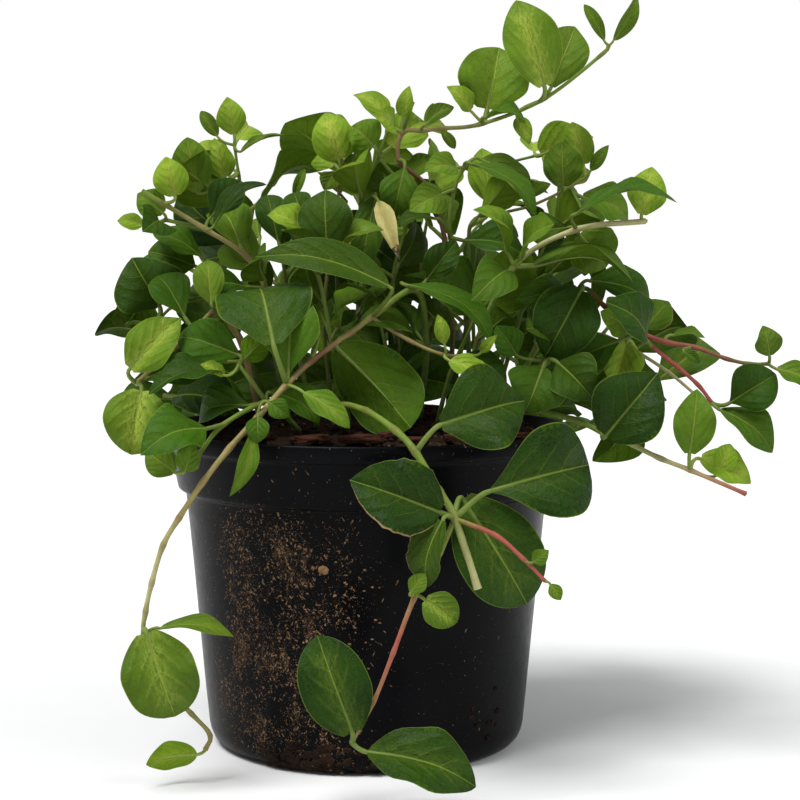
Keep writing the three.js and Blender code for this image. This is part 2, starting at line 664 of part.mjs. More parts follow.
function pot() {
  const wallFoot = POT_HEIGHT - COLLAR_HEIGHT;
  const profile = new THREE.Path();
  profile.moveTo(0, 0);
  profile.lineTo(BASE_RADIUS - BASE_CORNER, 0);
  profile.quadraticCurveTo(BASE_RADIUS, 0, BASE_RADIUS + 0.6, BASE_CORNER);
  profile.lineTo(WALL_TOP_RADIUS, wallFoot - 1);
  profile.lineTo(COLLAR_FOOT_RADIUS, wallFoot + 1);
  profile.lineTo(COLLAR_RADIUS, POT_HEIGHT - LIP_HEIGHT);
  profile.lineTo(RIM_RADIUS, POT_HEIGHT - LIP_HEIGHT);
  profile.lineTo(RIM_RADIUS, POT_HEIGHT);
  profile.lineTo(RIM_RADIUS - WALL, POT_HEIGHT);
  profile.lineTo(COLLAR_RADIUS - WALL, POT_HEIGHT - LIP_HEIGHT + WALL);
  profile.lineTo(COLLAR_FOOT_RADIUS - WALL, wallFoot + 2);
  profile.lineTo(WALL_TOP_RADIUS - WALL, wallFoot);
  profile.lineTo(BASE_RADIUS - WALL, BASE_CORNER);
  profile.lineTo(BASE_RADIUS - BASE_CORNER, FLOOR);
  profile.lineTo(0, FLOOR);
  const points = profile.getPoints(4);
  const shell = new THREE.LatheGeometry(points, POT_SIDES);
  shell.rotateX(Math.PI / 2);
  let body = solid(shell);
  for (let i = 0; i < DRAIN_HOLES; i += 1) {
    const angle = (i / DRAIN_HOLES) * 2 * Math.PI;
    const hole = new THREE.CylinderGeometry(DRAIN_RADIUS, DRAIN_RADIUS, 3 * FLOOR, 12);
    hole.rotateX(Math.PI / 2);
    hole.translate(DRAIN_CIRCLE * Math.cos(angle), DRAIN_CIRCLE * Math.sin(angle), FLOOR / 2);
    body = body.subtract(solid(hole));
  }
  return geometryOf(body);
}

// Height of the soil at a distance from the pot's axis.
function soilTop(radius) {
  if (radius <= SOIL_SHOULDER) {
    return SOIL_CROWN_Z - 3 * (radius / SOIL_SHOULDER) ** 2;
  }
  const fall = (radius - SOIL_SHOULDER) / (COLLAR_RADIUS - WALL - SOIL_SHOULDER);
  return SOIL_CROWN_Z - 3 - (SOIL_CROWN_Z - 3 - SOIL_EDGE_Z) * Math.min(1, fall);
}

function soil() {
  const wallFoot = POT_HEIGHT - COLLAR_HEIGHT;
  const inset = WALL + GAP;
  const points = [
    new THREE.Vector2(0, FLOOR + GAP),
    new THREE.Vector2(BASE_RADIUS - BASE_CORNER - GAP, FLOOR + GAP),
    new THREE.Vector2(BASE_RADIUS - inset, BASE_CORNER + GAP),
    new THREE.Vector2(WALL_TOP_RADIUS - inset, wallFoot),
    new THREE.Vector2(COLLAR_FOOT_RADIUS - inset, wallFoot + 3),
    new THREE.Vector2(COLLAR_RADIUS - inset - GAP, SOIL_EDGE_Z),
    new THREE.Vector2(SOIL_SHOULDER, soilTop(SOIL_SHOULDER)),
    new THREE.Vector2(SOIL_SHOULDER / 2, soilTop(SOIL_SHOULDER / 2)),
    new THREE.Vector2(0, soilTop(0)),
  ];
  const geometry = new THREE.LatheGeometry(points, POT_SIDES);
  geometry.rotateX(Math.PI / 2);
  return geometryOf(solid(geometry));
}

function chip([[x, y], length, width, thickness, turn]) {
  const geometry = new THREE.CylinderGeometry(width * 0.42, width * 0.5, thickness, 7);
  geometry.rotateX(Math.PI / 2);
  geometry.scale(length / width, 1, 1);
  geometry.rotateZ(THREE.MathUtils.degToRad(turn));
  const radius = Math.hypot(x, y);
  geometry.translate(x, y, soilTop(Math.max(0, radius - length / 2)) + thickness / 2 + GAP);
  return geometryOf(solid(geometry));
}

// ---- Stems and leaves ------------------------------------------------------------------

const curveThrough = (points) => new THREE.CatmullRomCurve3(points.map(vector), false, 'catmullrom', 0.5);

// A stem's solid and the straight pieces that it is made of.
function stemSolid(radius, path) {
  const section = new THREE.Shape();
  for (let i = 0; i < STEM_SIDES; i += 1) {
    const angle = (i / STEM_SIDES) * 2 * Math.PI;
    const corner = [radius * Math.cos(angle), radius * Math.sin(angle)];
    if (i === 0) section.moveTo(...corner);
    else section.lineTo(...corner);
  }
  const steps = Math.max(1, Math.round(path.getLength() / STEM_STEP));
  const line = path.getSpacedPoints(steps);
  const geometry = new THREE.ExtrudeGeometry(section, { steps, extrudePath: path, bevelEnabled: false });
  return { body: solid(geometry), line };
}

// The point of some stems' straight pieces that lies nearest to a given point.
function closestOn(lines, point) {
  let closest = null;
  for (const line of lines) {
    for (let i = 1; i < line.length; i += 1) {
      const candidate = new THREE.Vector3();
      new THREE.Line3(line[i - 1], line[i]).closestPointToPoint(point, true, candidate);
      if (!closest || candidate.distanceTo(point) < closest.distanceTo(point)) closest = candidate;
    }
  }
  return closest;
}

// The three directions of a blade: along its midrib, across it, and out of its upper face.
function bladeAxes(base, tip, face) {
  const along = tip.clone().sub(base).normalize();
  const across = new THREE.Vector3().crossVectors(vector(face), along).normalize();
  const out = new THREE.Vector3().crossVectors(along, across).normalize();
  return { along, across, out };
}

// A point of a blade: along from 0 at the stalk to 1 at the tip, across from -1 to 1 edges.
function bladePoint(leaf, along, halfWidth, side) {
  const { across, out } = bladeAxes(leaf.base, leaf.tip, leaf.face);
  const length = leaf.base.distanceTo(leaf.tip);
  const rise = ARCH * length * Math.sin(Math.PI * along) + FOLD * 2 * halfWidth * Math.abs(side);
  return leaf.base.clone().lerp(leaf.tip, along)
    .addScaledVector(across, halfWidth * side)
    .addScaledVector(out, rise);
}

// The same three directions for a section of the stalk that runs another way.
function turnedAxes(axes, run) {
  const across = axes.across.clone().addScaledVector(run, -axes.across.dot(run)).normalize();
  return { along: run, across, out: new THREE.Vector3().crossVectors(run, across) };
}

// A blade with its stalk: a four-sided cone whose rings are flattened to the outline.
function leafSolid(leaf, root) {
  const rings = leaf.outline.length + 1;
  const cone = new THREE.ConeGeometry(1, 1, 4, rings);
  const position = cone.attributes.position;
  const blade = bladeAxes(leaf.base, leaf.tip, leaf.face);
  const run = leaf.base.clone().sub(root).normalize();
  const rootAxes = turnedAxes(blade, run);
  const neckAxes = turnedAxes(blade, run.clone().add(blade.along).normalize());
  const half = THICKNESS[leaf.age] / 2;
  for (let i = 0; i < position.count; i += 1) {
    const height = position.getY(i) + 0.5;
    const ring = Math.round(height * rings);
    const side = -position.getX(i) / (1 - height);
    const through = position.getZ(i) / (1 - height);
    let point;
    if (ring === rings) {
      point = leaf.tip.clone();
    } else if (ring < 2) {
      const { across, out } = ring === 0 ? rootAxes : neckAxes;
      point = (ring === 0 ? root : leaf.base).clone()
        .addScaledVector(across, STALK_RADIUS * side)
        .addScaledVector(out, STALK_RADIUS * through);
    } else {
      const [along, share] = leaf.outline[ring - 1];
      point = bladePoint(leaf, along, (leaf.width / 2) * share, side).addScaledVector(blade.out, through * half);
    }
    position.setXYZ(i, ...point.toArray());
  }
  return solid(cone);
}

// Points spread over a blade and its stalk, to keep shoots out of each other.
function leafSamples(leaf) {
  const samples = [];
  for (let row = 0; row < SAMPLE_ROWS; row += 1) {
    const along = row / (SAMPLE_ROWS - 1);
    const halfWidth = (leaf.width / 2) * Math.sqrt(Math.max(0, 1 - (2 * along - 0.9) ** 2 / 1.21));
    for (const side of [-1, -0.5, 0, 0.5, 1]) {
      samples.push(bladePoint(leaf, along, halfWidth, side));
    }
  }
  for (let step = 1; step < 4; step += 1) {
    samples.push(leaf.node.clone().lerp(leaf.base, step / 4));
  }
  return samples;
}

function stemSamples([, ...points]) {
  const path = curveThrough(points);
  return path.getSpacedPoints(Math.ceil(path.getLength() / STEM_SAMPLE));
}

// Everything placed so far, as sample points with the number of their shoot.
const placed = [];

function isClear(samples, shoot) {
  const limit = CLEARANCE * CLEARANCE;
  for (const sample of samples) {
    const radius = Math.hypot(sample.x, sample.y);
    if (radius < RIM_RADIUS + 4 && sample.z < POT_HEIGHT + 5) return false;
    if (sample.z < 4) return false;
    for (const other of placed) {
      if (other.shoot !== shoot && other.point.distanceToSquared(sample) < limit) return false;
    }
  }
  return true;
}

function nearestNode(shoot, base) {
  let nearest = null;
  for (const [, ...points] of shoot.stems) {
    for (const point of points.slice(1)) {
      const candidate = vector(point);
      if (!nearest || candidate.distanceTo(base) < nearest.distanceTo(base)) nearest = candidate;
    }
  }
  return nearest;
}

// One of a pair of fill leaves, turned about until it is clear of every other shoot.
function fillLeaf(shoot, index, [stem, point], turn) {
  const points = shoot.stems[stem].slice(1);
  const node = vector(points[point]);
  const before = vector(points[point - 1]);
  const growth = node.clone().sub(before).normalize();
  const across = new THREE.Vector3(growth.y, -growth.x, 0.001).normalize();
  const outward = new THREE.Vector3(node.x, node.y, 0).normalize();
  for (let attempt = 0; attempt < FILL_TRIES; attempt += 1) {
    const angle = turn + between(-0.35, 0.35) * (1 + attempt / 8);
    const heading = across.clone().applyAxisAngle(growth, angle)
      .addScaledVector(growth, between(0.2, 0.7))
      .addScaledVector(new THREE.Vector3(0, 0, 1), between(0.0, 0.5))
      .normalize();
    const length = between(...FILL_LENGTH) * (1 - attempt / (2 * FILL_TRIES));
    const base = node.clone().addScaledVector(heading, FILL_STALK);
    const tip = base.clone().addScaledVector(heading, length);
    const face = outward.clone().multiplyScalar(between(0.4, 1.0));
    face.z += between(0.5, 1.0);
    const leaf = {
      node,
      base,
      tip,
      width: FILL_WIDTH * length,
      face: face.toArray(),
      age: 'old',
      outline: PLAIN_OUTLINE,
    };
    const samples = leafSamples(leaf);
    if (isClear(samples, index)) return { leaf, samples };
  }
  return null;
}

function growShoots() {
  const leaves = SHOOTS.map(() => []);
  const settle = (index, leaf, samples) => {
    leaves[index].push(leaf);
    samples.forEach((point) => placed.push({ shoot: index, point }));
  };
  SHOOTS.forEach((shoot, index) => {
    for (const stem of shoot.stems) {
      stemSamples(stem).forEach((point) => placed.push({ shoot: index, point }));
    }
  });
  SHOOTS.forEach((shoot, index) => {
    for (const [base, tip, width, face, age] of shoot.leaves) {
      const start = vector(base);
      const node = nearestNode(shoot, start);
      const leaf = { node, base: start, tip: vector(tip), width, face, age, outline: OUTLINE };
      settle(index, leaf, leafSamples(leaf));
    }
  });
  SHOOTS.forEach((shoot, index) => {
    shoot.pairs.forEach((place, order) => {
      const quarter = (order % 2) * (Math.PI / 2);
      for (const half of [0, Math.PI]) {
        const found = fillLeaf(shoot, index, place, quarter + half);
        if (found) settle(index, found.leaf, found.samples);
      }
    });
  });
  return leaves;
}

function shootGeometry(shoot, leaves) {
  const lines = [];
  let body = null;
  for (const [radius, ...points] of shoot.stems) {
    const path = curveThrough(points);
    if (lines.length > 0) path.points[0] = closestOn(lines, path.points[0]);
    const stem = stemSolid(radius, path);
    lines.push(stem.line);
    body = body ? body.add(stem.body) : stem.body;
  }
  for (const leaf of leaves) {
    body = body.add(leafSolid(leaf, closestOn(lines, leaf.node)));
  }
  return geometryOf(body);
}

// ---- The whole plant -------------------------------------------------------------------

const POT_COLOR = 0x1c1d20;
const SOIL_COLOR = 0x2c1d14;
const BARK_COLOR = 0x5a3322;
const LEAF_COLOR = 0x2f5a26;
const DEAD_COLOR = 0xb9ab62;

const group = new THREE.Group();
group.add(piece('pot', pot(), POT_COLOR, 0.45));
group.add(piece('soil', soil(), SOIL_COLOR, 0.95));
CHIPS.forEach((settings, i) => group.add(piece(`bark_chip_${i + 1}`, chip(settings), BARK_COLOR, 0.9)));

const grown = growShoots();
SHOOTS.forEach((shoot, index) => {
  group.add(piece(shoot.name, shootGeometry(shoot, grown[index]), LEAF_COLOR, 0.4));
});

const [deadBase, deadTip, deadWidth, deadFace] = DEAD_LEAF;
const deadLeaf = {
  node: vector(deadBase).add(new THREE.Vector3(-2, 3, 2)),
  base: vector(deadBase),
  tip: vector(deadTip),
  width: deadWidth,
  face: deadFace,
  age: 'young',
  outline: OUTLINE,
};
group.add(piece('dead_leaf', geometryOf(leafSolid(deadLeaf, deadLeaf.node)), DEAD_COLOR, 0.7));

export default group;
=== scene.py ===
"""Looks of a potted periwinkle: broad leathery leaves on trailing shoots, in a black nursery pot."""

import math
import random

import bpy
import numpy as np
from mathutils import Matrix, Vector, noise


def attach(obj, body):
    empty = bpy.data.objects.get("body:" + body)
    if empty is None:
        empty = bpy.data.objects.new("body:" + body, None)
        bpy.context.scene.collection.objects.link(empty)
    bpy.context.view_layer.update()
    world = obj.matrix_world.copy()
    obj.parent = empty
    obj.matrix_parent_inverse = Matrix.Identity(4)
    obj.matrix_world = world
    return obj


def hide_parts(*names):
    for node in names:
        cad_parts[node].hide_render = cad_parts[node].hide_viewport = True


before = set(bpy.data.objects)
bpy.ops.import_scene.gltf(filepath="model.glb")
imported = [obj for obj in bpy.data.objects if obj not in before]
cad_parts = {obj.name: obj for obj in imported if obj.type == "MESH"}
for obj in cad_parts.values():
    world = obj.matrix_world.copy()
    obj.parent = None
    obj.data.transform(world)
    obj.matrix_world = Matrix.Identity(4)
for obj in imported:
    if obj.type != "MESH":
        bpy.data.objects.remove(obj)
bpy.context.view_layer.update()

bl_info = {
    "name": "Potted Periwinkle",
    "version": (1, 0, 0),
    "blender": (4, 5, 0),
    "location": "View3D > Sidebar > Periwinkle",
    "description": "Builds a potted periwinkle piece by piece round its packed frame",
    "category": "Add Mesh",
}

# ---- Layout, in millimetres, +Z up, -Y towards the front -----------------------------------

POT_HEIGHT = 148
RIM_RADIUS = 95
COLLAR_RADIUS = 92
WALL = 1.6
SOIL_EDGE_Z = 141
SOIL_CROWN_Z = 150
SOIL_SHOULDER = 74
SOIL_DOME = 3                # the crown's height over the shoulder
GAP = 0.4

# Blades fold along the midrib and arch along it by these shares of their width and length.
FOLD = 0.10
ARCH = 0.10

# Fill leaves: their length, width as a share of it, stalk, and tries at a place that is clear of
# other shoots by CLEARANCE. That is measured between samples of leaves and of stems.
FILL_LENGTH = (28, 44)
FILL_WIDTH = 0.74
FILL_STALK = 9
FILL_TRIES = 48
CLEARANCE = 4.6
SAMPLE_ROWS = 9
STEM_SAMPLE = 4
CURVE_STEPS = 200            # straight steps by which a curve's length is measured

# Which way a leaf's upper face looks.
FRONT = (0, -1, 0.25)
SKY = (0, -0.35, 1)
FRONT_UP = (0, -0.8, 0.75)
LEFT_UP = (-0.6, -0.6, 0.6)
RIGHT_UP = (0.6, -0.6, 0.6)
AWAY = (0, 1, 0.15)

OLD, MATURE, YOUNG = "old", "mature", "young"

# Each shoot's stems as a radius and the points they pass through, its leaves as stalk end, tip,
# width, facing and age, and the nodes that carry pairs of fill leaves as (stem, point).
SHOOTS = {
    "shoot_top_right": {
        "stems": [
            (1.5, [(38, 10, 152), (40, 6, 192), (36, 0, 234), (28, -4, 258), (15, -6, 270),
                (16, -7, 283), (25, -8, 284), (34, -8, 285), (52, -10, 287), (80, -14, 298),
                (106, -18, 318), (109, -18, 322)]),
            (1.2, [(16, -7, 283), (21, -7, 297)]),
        ],
        "leaves": [
            ((55, -6, 294), (61, 0, 323), 33, FRONT, MATURE),
            ((54, -15, 290), (71, -20, 291), 21, SKY, OLD),
            ((80, -18, 304), (67, -20, 342), 26, FRONT, YOUNG),
            ((84, -10, 304), (96, -2, 333), 22, FRONT, MATURE),
            ((68, -14, 290), (74, -16, 278), 8, FRONT, YOUNG),
            ((107, -18, 324), (98, -16, 341), 6, FRONT, MATURE),
            ((111, -19, 324), (122, -22, 345), 8, RIGHT_UP, MATURE),
            ((27, -12, 287), (39, -14, 295), 9, FRONT_UP, MATURE),
            ((16, -10, 290), (19, -12, 304), 8, FRONT, YOUNG),
            ((34, -5, 284), (41, -2, 276), 5, FRONT, MATURE),
            ((17, -13, 267), (12, -16, 245), 18, FRONT, OLD),
            ((12, -15, 285), (4, -33, 290), 14, (0.6, -0.7, 0.3), YOUNG),
            ((47, -12, 293), (37, -16, 304), 11, (0.4, -0.9, 0.3), YOUNG),
            ((27, -2, 286), (35, 17, 291), 16, (0.7, -0.5, 0.4), YOUNG),
        ],
        "pairs": [(0, 1), (0, 2)],
    },
    "shoot_top_middle": {
        "stems": [
            (1.3, [(6, 12, 152), (-4, 8, 200), (-3, 4, 250), (5, 0, 272), (11, -2, 289)]),
        ],
        "leaves": [
            ((9, 2, 291), (-6, 4, 302), 14, FRONT_UP, YOUNG),
            ((3, -5, 277), (-7, -8, 286), 19, FRONT, MATURE),
            ((4, -12, 254), (-3, -26, 220), 15, FRONT, OLD),
            ((18, 4, 262), (33, 8, 273), 12, FRONT_UP, MATURE),
            ((11, 4, 277), (28, 17, 291), 20, (0.1, -0.9, 0.5), YOUNG),
        ],
        "pairs": [(0, 1), (0, 2)],
    },
    "shoot_heart_leaf": {
        "stems": [
            (1.2, [(-16, 2, 152), (-20, 4, 200), (-14, 4, 248), (-12, 2, 266), (-7, 3, 275),
                (1, 5, 277)]),
        ],
        "leaves": [
            ((-13, -2, 271), (-19, -5, 292), 20, FRONT, YOUNG),
            ((-15, 2, 265), (-20, 0, 257), 10, FRONT, MATURE),
            ((-9, 1, 267), (-4, -1, 274), 6, FRONT, MATURE),
            ((-34, 5, 254), (-29, 6, 267), 5, FRONT, MATURE),
            ((-11, 7, 280), (-21, 16, 291), 14, (0.4, -0.9, 0.3), YOUNG),
            ((-15, 7, 269), (-22, 21, 276), 14, (-0.8, -0.4, 0.3), YOUNG),
        ],
        "pairs": [(0, 1)],
    },
    "shoot_upper_left": {
        "stems": [
            (1.7, [(-36, -8, 151), (-40, -14, 190), (-46, -20, 212), (-55, -22, 227),
                (-73, -24, 239), (-91, -26, 250), (-101, -26, 256)]),
            (1.5, [(-73, -24, 239), (-91, -20, 243)]),
        ],
        "leaves": [
            ((-71, -20, 244), (-57, -14, 262), 17, FRONT, OLD),
            ((-69, -29, 240), (-47, -30, 261), 14, LEFT_UP, OLD),
            ((-86, -28, 254), (-90, -30, 271), 16, FRONT, YOUNG),
            ((-92, -22, 246), (-104, -20, 255), 14, FRONT, MATURE),
            ((-102, -16, 241), (-114, -14, 243), 8, FRONT, YOUNG),
            ((-93, -28, 242), (-97, -52, 239), 19, (0.6, -0.5, 0.6), OLD),
            ((-55, -25, 213), (-73, -34, 214), 15, (0.1, -0.7, 0.7), OLD),
            ((-58, -16, 232), (-68, 3, 249), 21, (0.2, -0.9, 0.4), MATURE),
        ],
        "pairs": [(0, 2)],
    },
    "shoot_upper_left_back": {
        "stems": [
            (1.3, [(-26, 22, 151), (-44, 22, 205), (-57, 16, 246), (-60, 12, 264),
                (-62, 12, 278)]),
        ],
        "leaves": [
            ((-62, 10, 283), (-65, 8, 300), 14, FRONT, YOUNG),
            ((-59, 10, 275), (-37, 12, 283), 8, SKY, MATURE),
            ((-70, 14, 282), (-78, 16, 294), 7, FRONT, MATURE),
            ((-79, 4, 256), (-83, 0, 281), 19, FRONT, MATURE),
            ((-66, 8, 263), (-71, 6, 281), 13, FRONT, YOUNG),
            ((-61, 21, 281), (-57, 43, 289), 18, (0.5, -0.4, 0.7), YOUNG),
            ((-66, 15, 269), (-81, 24, 280), 14, (-0.0, -0.9, 0.5), YOUNG),
        ],
        "pairs": [(0, 1), (0, 2)],
    },
    "shoot_left_back": {
        "stems": [
            (1.5, [(-44, 8, 150), (-58, 6, 186), (-70, 2, 208), (-78, 0, 218)]),
            (1.2, [(-70, 2, 208), (-88, -4, 204), (-97, -8, 196)]),
        ],
        "leaves": [
            ((-80, -2, 222), (-100, -6, 229), 22, FRONT, OLD),
            ((-76, -6, 226), (-97, -10, 238), 15, FRONT_UP, OLD),
            ((-95, -14, 204), (-106, -22, 225), 33, FRONT, OLD),
            ((-84, 7, 221), (-106, 33, 230), 26, (-0.1, -0.8, 0.6), OLD),
        ],
        "pairs": [(0, 1), (0, 2)],
    },
    "shoot_tan_left": {
        "stems": [
            (1.7, [(-48, -26, 151), (-54, -34, 180), (-60, -38, 196), (-67, -40, 203),
                (-77, -42, 194), (-102, -46, 171)]),
        ],
        "leaves": [
            ((-69, -44, 207), (-71, -38, 226), 14, FRONT, MATURE),
            ((-104, -52, 178), (-82, -47, 200), 22, FRONT, YOUNG),
            ((-99, -52, 168), (-103, -60, 141), 28, FRONT, YOUNG),
            ((-97, -41, 173), (-77, -22, 182), 23, (0.3, -0.9, 0.3), OLD),
            ((-81, -40, 200), (-94, -31, 220), 19, (0.2, -0.9, 0.3), OLD),
        ],
        "pairs": [(0, 1)],
    },
    "shoot_left_rim": {
        "stems": [
            (1.6, [(-30, -48, 150), (-38, -56, 160), (-44, -60, 164), (-62, -73, 155),
                (-72, -80, 143), (-79, -84, 136)]),
            (1.4, [(-44, -60, 164), (-50, -58, 172), (-56, -56, 180)]),
        ],
        "leaves": [
            ((-82, -84, 136), (-94, -84, 145), 14, FRONT, MATURE),
            ((-77, -87, 137), (-73, -89, 149), 11, FRONT, MATURE),
            ((-60, -58, 176), (-95, -66, 171), 20, SKY, OLD),
            ((-57, -50, 184), (-84, -48, 193), 21, FRONT, OLD),
            ((-54, -48, 182), (-44, -44, 192), 13, AWAY, MATURE),
            ((-62, -64, 176), (-72, -66, 181), 7, FRONT_UP, YOUNG),
            ((-69, -80, 154), (-92, -104, 150), 25, (-0.0, -0.8, 0.6), OLD),
            ((-42, -59, 168), (-20, -63, 157), 19, (0.3, -0.6, 0.7), OLD),
            ((-52, -57, 162), (-77, -48, 157), 20, (0.3, -0.7, 0.7), OLD),
        ],
        "pairs": [],
    },
    "shoot_main_runner": {
        "stems": [
            (1.8, [(24, -14, 152), (27, -22, 186), (22, -32, 212), (2, -42, 200),
                (-8, -48, 193), (-24, -60, 182), (-35, -72, 172), (-46, -84, 160),
                (-58, -92, 147), (-69, -95, 133), (-79, -95, 118), (-86, -94, 106),
                (-91, -92, 90), (-94, -90, 77), (-95, -88, 66), (-90, -82, 46), (-76, -78, 30),
                (-68, -76, 20), (-70, -78, 14)]),
            (1.2, [(2, -42, 200), (19, -48, 190), (34, -50, 184), (46, -50, 184)]),
        ],
        "leaves": [
            ((-40, -76, 190), (-48, -52, 219), 42, FRONT_UP, OLD),
            ((-93, -96, 69), (-81, -98, 33), 32, FRONT, MATURE),
            ((-88, -90, 70), (-56, -96, 68), 13, SKY, MATURE),
            ((-73, -82, 13), (-95, -88, 11), 13, AWAY, YOUNG),
            ((-42, -84, 166), (-33, -86, 160), 9, FRONT, OLD),
            ((-46, -90, 160), (-46, -94, 150), 10, FRONT, OLD),
            ((-48, -91, 154), (-56, -97, 127), 9, RIGHT_UP, MATURE),
            ((-27, -82, 170), (-7, -90, 156), 12, FRONT_UP, YOUNG),
            ((-13, -53, 187), (20, -64, 153), 34, AWAY, MATURE),
            ((34, -54, 189), (31, -56, 202), 7, FRONT, YOUNG),
            ((50, -52, 185), (57, -54, 193), 5, FRONT, YOUNG),
            ((36, -58, 182), (55, -64, 172), 12, FRONT_UP, YOUNG),
            ((16, -46, 215), (58, -52, 194), 18, SKY, OLD),
            ((10, -54, 214), (-48, -58, 230), 20, FRONT_UP, OLD),
            ((-22, -54, 196), (-36, -44, 202), 15, FRONT_UP, OLD),
            ((27, -34, 217), (39, -39, 233), 15, (-0.0, -1.0, 0.2), OLD),
            ((-34, -70, 178), (-31, -57, 212), 27, (-0.1, -0.8, 0.5), OLD),
            ((40, -48, 181), (63, -42, 170), 19, (-0.0, -0.7, 0.7), OLD),
        ],
        "pairs": [(0, 1)],
    },
    "shoot_middle_left": {
        "stems": [
            (1.5, [(-8, -30, 151), (-16, -32, 190), (-22, -30, 218), (-30, -28, 232)]),
        ],
        "leaves": [
            ((-18, -36, 230), (-19, -34, 257), 25, FRONT, OLD),
            ((-29, -34, 240), (-44, -36, 246), 17, FRONT_UP, YOUNG),
            ((-40, -20, 232), (-46, -10, 257), 15, FRONT, OLD),
            ((-28, -18, 240), (-34, -8, 257), 13, FRONT, OLD),
        ],
        "pairs": [(0, 1), (0, 2)],
    },
    "shoot_front_runner": {
        "stems": [
            (1.9, [(-10, -46, 151), (-11, -68, 163), (0, -83, 162), (12, -95, 155),
                (20, -102, 147), (30, -110, 131), (36, -112, 121), (46, -114, 91)]),
            (1.3, [(36, -112, 121), (53, -118, 114), (64, -122, 105), (73, -124, 96)]),
            (1.4, [(36, -112, 121), (30, -114, 106), (20, -118, 89), (11, -121, 66),
                (3, -123, 46), (-6, -120, 28)]),
        ],
        "leaves": [
            ((30, -114, 123), (-7, -118, 137), 31, FRONT, OLD),
            ((31, -118, 120), (23, -120, 93), 20, LEFT_UP, OLD),
            ((31, -100, 158), (67, -92, 168), 38, FRONT, OLD),
            ((50, -110, 131), (95, -100, 142), 40, FRONT, OLD),
            ((40, -104, 127), (68, -102, 82), 36, FRONT, MATURE),
            ((68, -124, 104), (74, -126, 109), 7, FRONT, MATURE),
            ((75, -126, 95), (79, -128, 89), 6, FRONT, MATURE),
            ((24, -122, 88), (37, -124, 79), 15, FRONT, YOUNG),
            ((18, -122, 91), (24, -122, 99), 8, FRONT, MATURE),
            ((-6, -122, 33), (-20, -126, 73), 29, FRONT, MATURE),
            ((0, -124, 25), (45, -132, 15), 27, FRONT_UP, MATURE),
        ],
        "pairs": [],
    },
    "shoot_middle_right": {
        "stems": [
            (1.6, [(48, -6, 151), (46, -10, 195), (38, -12, 236), (40, -14, 258), (44, -16, 267)]),
        ],
        "leaves": [
            ((46, -20, 269), (78, -30, 249), 16, SKY, OLD),
            ((52, -10, 271), (76, -12, 255), 15, FRONT_UP, MATURE),
            ((44, -18, 234), (72, -24, 229), 21, FRONT_UP, OLD),
            ((52, -16, 203), (24, -22, 215), 31, FRONT_UP, OLD),
            ((31, -20, 244), (14, -26, 242), 11, SKY, OLD),
            ((40, -21, 267), (27, -37, 266), 14, (0.2, -0.9, 0.4), MATURE),
            ((34, -21, 255), (20, -37, 248), 16, (0.7, -0.5, 0.5), MATURE),
        ],
        "pairs": [(0, 1)],
    },
    "shoot_right_high": {
        "stems": [
            (1.2, [(52, 18, 151), (50, 16, 200), (48, 8, 240), (61, 4, 246), (76, 2, 250),
                (91, 0, 257), (101, -2, 263)]),
        ],
        "leaves": [
            ((90, -6, 259), (89, -10, 279), 19, FRONT, MATURE),
            ((103, -4, 266), (111, -5, 278), 6, FRONT, MATURE),
            ((94, 4, 260), (104, 8, 267), 11, FRONT_UP, YOUNG),
            ((74, 6, 253), (86, 12, 261), 8, FRONT_UP, MATURE),
            ((100, 0, 269), (95, 4, 289), 14, (-0.2, -0.8, 0.5), YOUNG),
            ((100, 2, 254), (123, 6, 245), 20, (0.7, -0.6, 0.3), MATURE),
        ],
        "pairs": [(0, 1), (0, 2)],
    },
    "shoot_right_high_back": {
        "stems": [
            (1.2, [(40, 34, 151), (50, 36, 205), (56, 32, 250), (64, 28, 268), (80, 24, 274)]),
        ],
        "leaves": [
            ((82, 20, 274), (106, 16, 283), 24, FRONT, YOUNG),
            ((90, 26, 274), (107, 29, 273), 13, (0.4, -0.9, 0.3), YOUNG),
            ((80, 34, 276), (80, 52, 281), 14, (0.1, -0.7, 0.7), YOUNG),
        ],
        "pairs": [(0, 1)],
    },
    "shoot_right_top": {
        "stems": [
            (1.8, [(42, -26, 151), (50, -32, 190), (66, -34, 223), (93, -36, 239),
                (124, -38, 243)]),
        ],
        "leaves": [
            ((92, -42, 246), (135, -46, 258), 17, SKY, OLD),
            ((90, -30, 240), (73, -28, 237), 16, FRONT, OLD),
            ((95, -32, 237), (108, -30, 222), 25, FRONT, MATURE),
            ((123, -32, 246), (128, -28, 268), 18, FRONT, YOUNG),
            ((69, -40, 227), (80, -64, 242), 24, (-0.6, -0.5, 0.6), MATURE),
            ((63, -40, 221), (49, -66, 213), 20, (0.1, -0.9, 0.4), OLD),
        ],
        "pairs": [(0, 1), (0, 2)],
    },
    "shoot_right_arch": {
        "stems": [
            (1.6, [(62, -8, 150), (78, -16, 186), (96, -22, 212), (108, -28, 204),
                (122, -32, 193), (128, -34, 187), (139, -38, 178), (148, -42, 170),
                (154, -44, 162)]),
            (1.4, [(122, -32, 193), (134, -38, 189), (146, -42, 187), (160, -46, 182),
                (170, -48, 180), (178, -48, 180)]),
            (1.3, [(78, -16, 186), (92, -14, 189), (107, -16, 191), (124, -18, 183),
                (138, -22, 174), (151, -26, 163)]),
        ],
        "leaves": [
            ((96, -34, 212), (80, -44, 184), 30, FRONT, OLD),
            ((101, -24, 216), (131, -22, 207), 19, FRONT_UP, OLD),
            ((117, -38, 195), (104, -44, 203), 15, FRONT, MATURE),
            ((126, -28, 195), (137, -24, 207), 15, FRONT, MATURE),
            ((138, -32, 192), (153, -30, 191), 9, SKY, MATURE),
            ((118, -24, 188), (112, -26, 168), 20, FRONT, YOUNG),
            ((141, -46, 185), (147, -50, 181), 5, FRONT, OLD),
            ((178, -50, 184), (175, -52, 197), 13, FRONT, MATURE),
